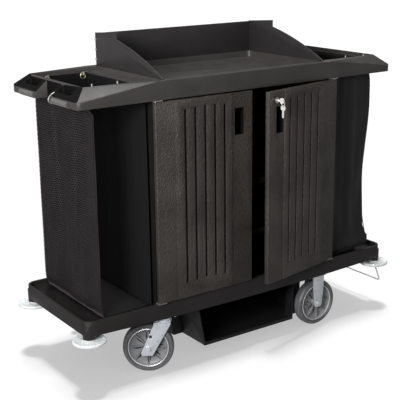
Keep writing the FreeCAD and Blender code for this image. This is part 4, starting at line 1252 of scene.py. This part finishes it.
# ---------------------------------------------------------------- stage
@dataclass
class Studio:
    """Pale floor, soft lights and the camera."""

    eye: tuple[float, float, float] = (-2.24047, -3.14141, 1.68233)
    heading: float = 34.7394
    dip: float = 15.9260
    roll: float = -0.6881
    lens: float = 85.086

    def build(self) -> None:
        """Sets the stage."""
        self.build_floor()
        self.build_lights()
        self.build_camera()

    def build_floor(self) -> None:
        """A wide pale floor."""
        bm = bmesh.new()
        bmesh.ops.create_grid(bm, x_segments=1, y_segments=1, size=40.0)
        mesh = bpy.data.meshes.new("floor")
        bm.to_mesh(mesh)
        bm.free()
        g = Graph("pale floor")
        g.surface(Base_Color=(0.50, 0.50, 0.50, 1.0), Roughness=0.9, Specular_IOR_Level=0.0)
        g.surface(Emission_Color=(1.0, 1.0, 1.0, 1.0), Emission_Strength=0.45)
        mesh.materials.append(g.material)
        floor = bpy.data.objects.new("floor", mesh)
        bpy.context.scene.collection.objects.link(floor)
        floor.visible_diffuse = False
        floor.visible_glossy = False
        self.unlit = bpy.data.collections.new("left out of the side lights")
        self.unlit.objects.link(floor)
        self.unlit.collection_objects[0].light_linking.link_state = "EXCLUDE"

    def add_lamp(self, name: str, place: Point, aim: Point, size: float, power: float,
                 mirrored: bool = True) -> None:
        """One square soft light.

        Args:
            name: its name.
            place: where it hangs.
            aim: what it points at.
            size: its side.
            power: its power in watts.
            mirrored: whether it shows as a highlight on glossy surfaces.
        """
        lamp = bpy.data.lights.new(name, "AREA")
        lamp.energy = power
        lamp.size = size
        holder = bpy.data.objects.new(name, lamp)
        holder.visible_camera = False
        holder.visible_glossy = mirrored
        holder.light_linking.receiver_collection = self.unlit
        holder.location = place
        holder.rotation_euler = (Vector(aim) - Vector(place)).to_track_quat("-Z", "Y").to_euler()
        bpy.context.scene.collection.objects.link(holder)

    def build_lights(self) -> None:
        """A raking key from the left, a broad top light from behind and an even surround."""
        self.add_lamp("key", (-3.1, -1.9, 1.9), (-0.2, 0, 0.7), 1.2, 205)
        self.add_lamp("front", (-1.4, -6.5, 3.2), (0, 0, 0.6), 2.2, 30)
        self.add_lamp("back", (3.2, 4.4, 2.6), (0, 0, 0.6), 2.0, 160, False)
        sun = bpy.data.lights.new("top", "SUN")
        sun.energy = 2.7
        sun.angle = math.radians(9)
        holder = bpy.data.objects.new("top", sun)
        holder.rotation_euler = Vector((-0.05, -0.12, -4.6)).to_track_quat("-Z", "Y").to_euler()
        bpy.context.scene.collection.objects.link(holder)
        world = bpy.data.worlds.new("surround")
        world.use_nodes = True
        back = world.node_tree.nodes["Background"]
        back.inputs["Color"].default_value = (1.0, 1.0, 1.0, 1.0)
        back.inputs["Strength"].default_value = 0.36
        bpy.context.scene.world = world
        bpy.context.scene.view_settings.view_transform = "Standard"

    def build_camera(self) -> None:
        """The camera at its measured place."""
        az, dip, roll = (math.radians(v) for v in (self.heading, self.dip, self.roll))
        ahead = Vector((math.sin(az) * math.cos(dip), math.cos(az) * math.cos(dip), -math.sin(dip)))
        level = Vector((math.cos(az), -math.sin(az), 0.0))
        rise = level.cross(ahead)
        right = math.cos(roll) * level + math.sin(roll) * rise
        above = -math.sin(roll) * level + math.cos(roll) * rise
        camera = bpy.data.cameras.new("camera")
        camera.lens = self.lens
        camera.sensor_width = 36.0
        camera.clip_end = 100.0
        holder = bpy.data.objects.new("camera", camera)
        turn = Matrix((right, above, -ahead)).transposed().to_4x4()
        holder.matrix_world = Matrix.Translation(self.eye) @ turn
        bpy.context.scene.collection.objects.link(holder)
        bpy.context.scene.camera = holder


def main() -> None:
    """Builds the cart piece by piece."""
    logging.basicConfig(level=logging.INFO, format="%(name)s: %(message)s")
    Studio().build()
    finishes = Finishes()
    Decks(finishes).build()
    Cabinet(finishes).build()
    Hood(finishes).build()
    RunningGear(finishes).build()
    ClosedBag(finishes, 1).build()
    OpenBag(finishes, -1).build()
    BagFittings(finishes).build()


if __name__ == "__main__":
    main()
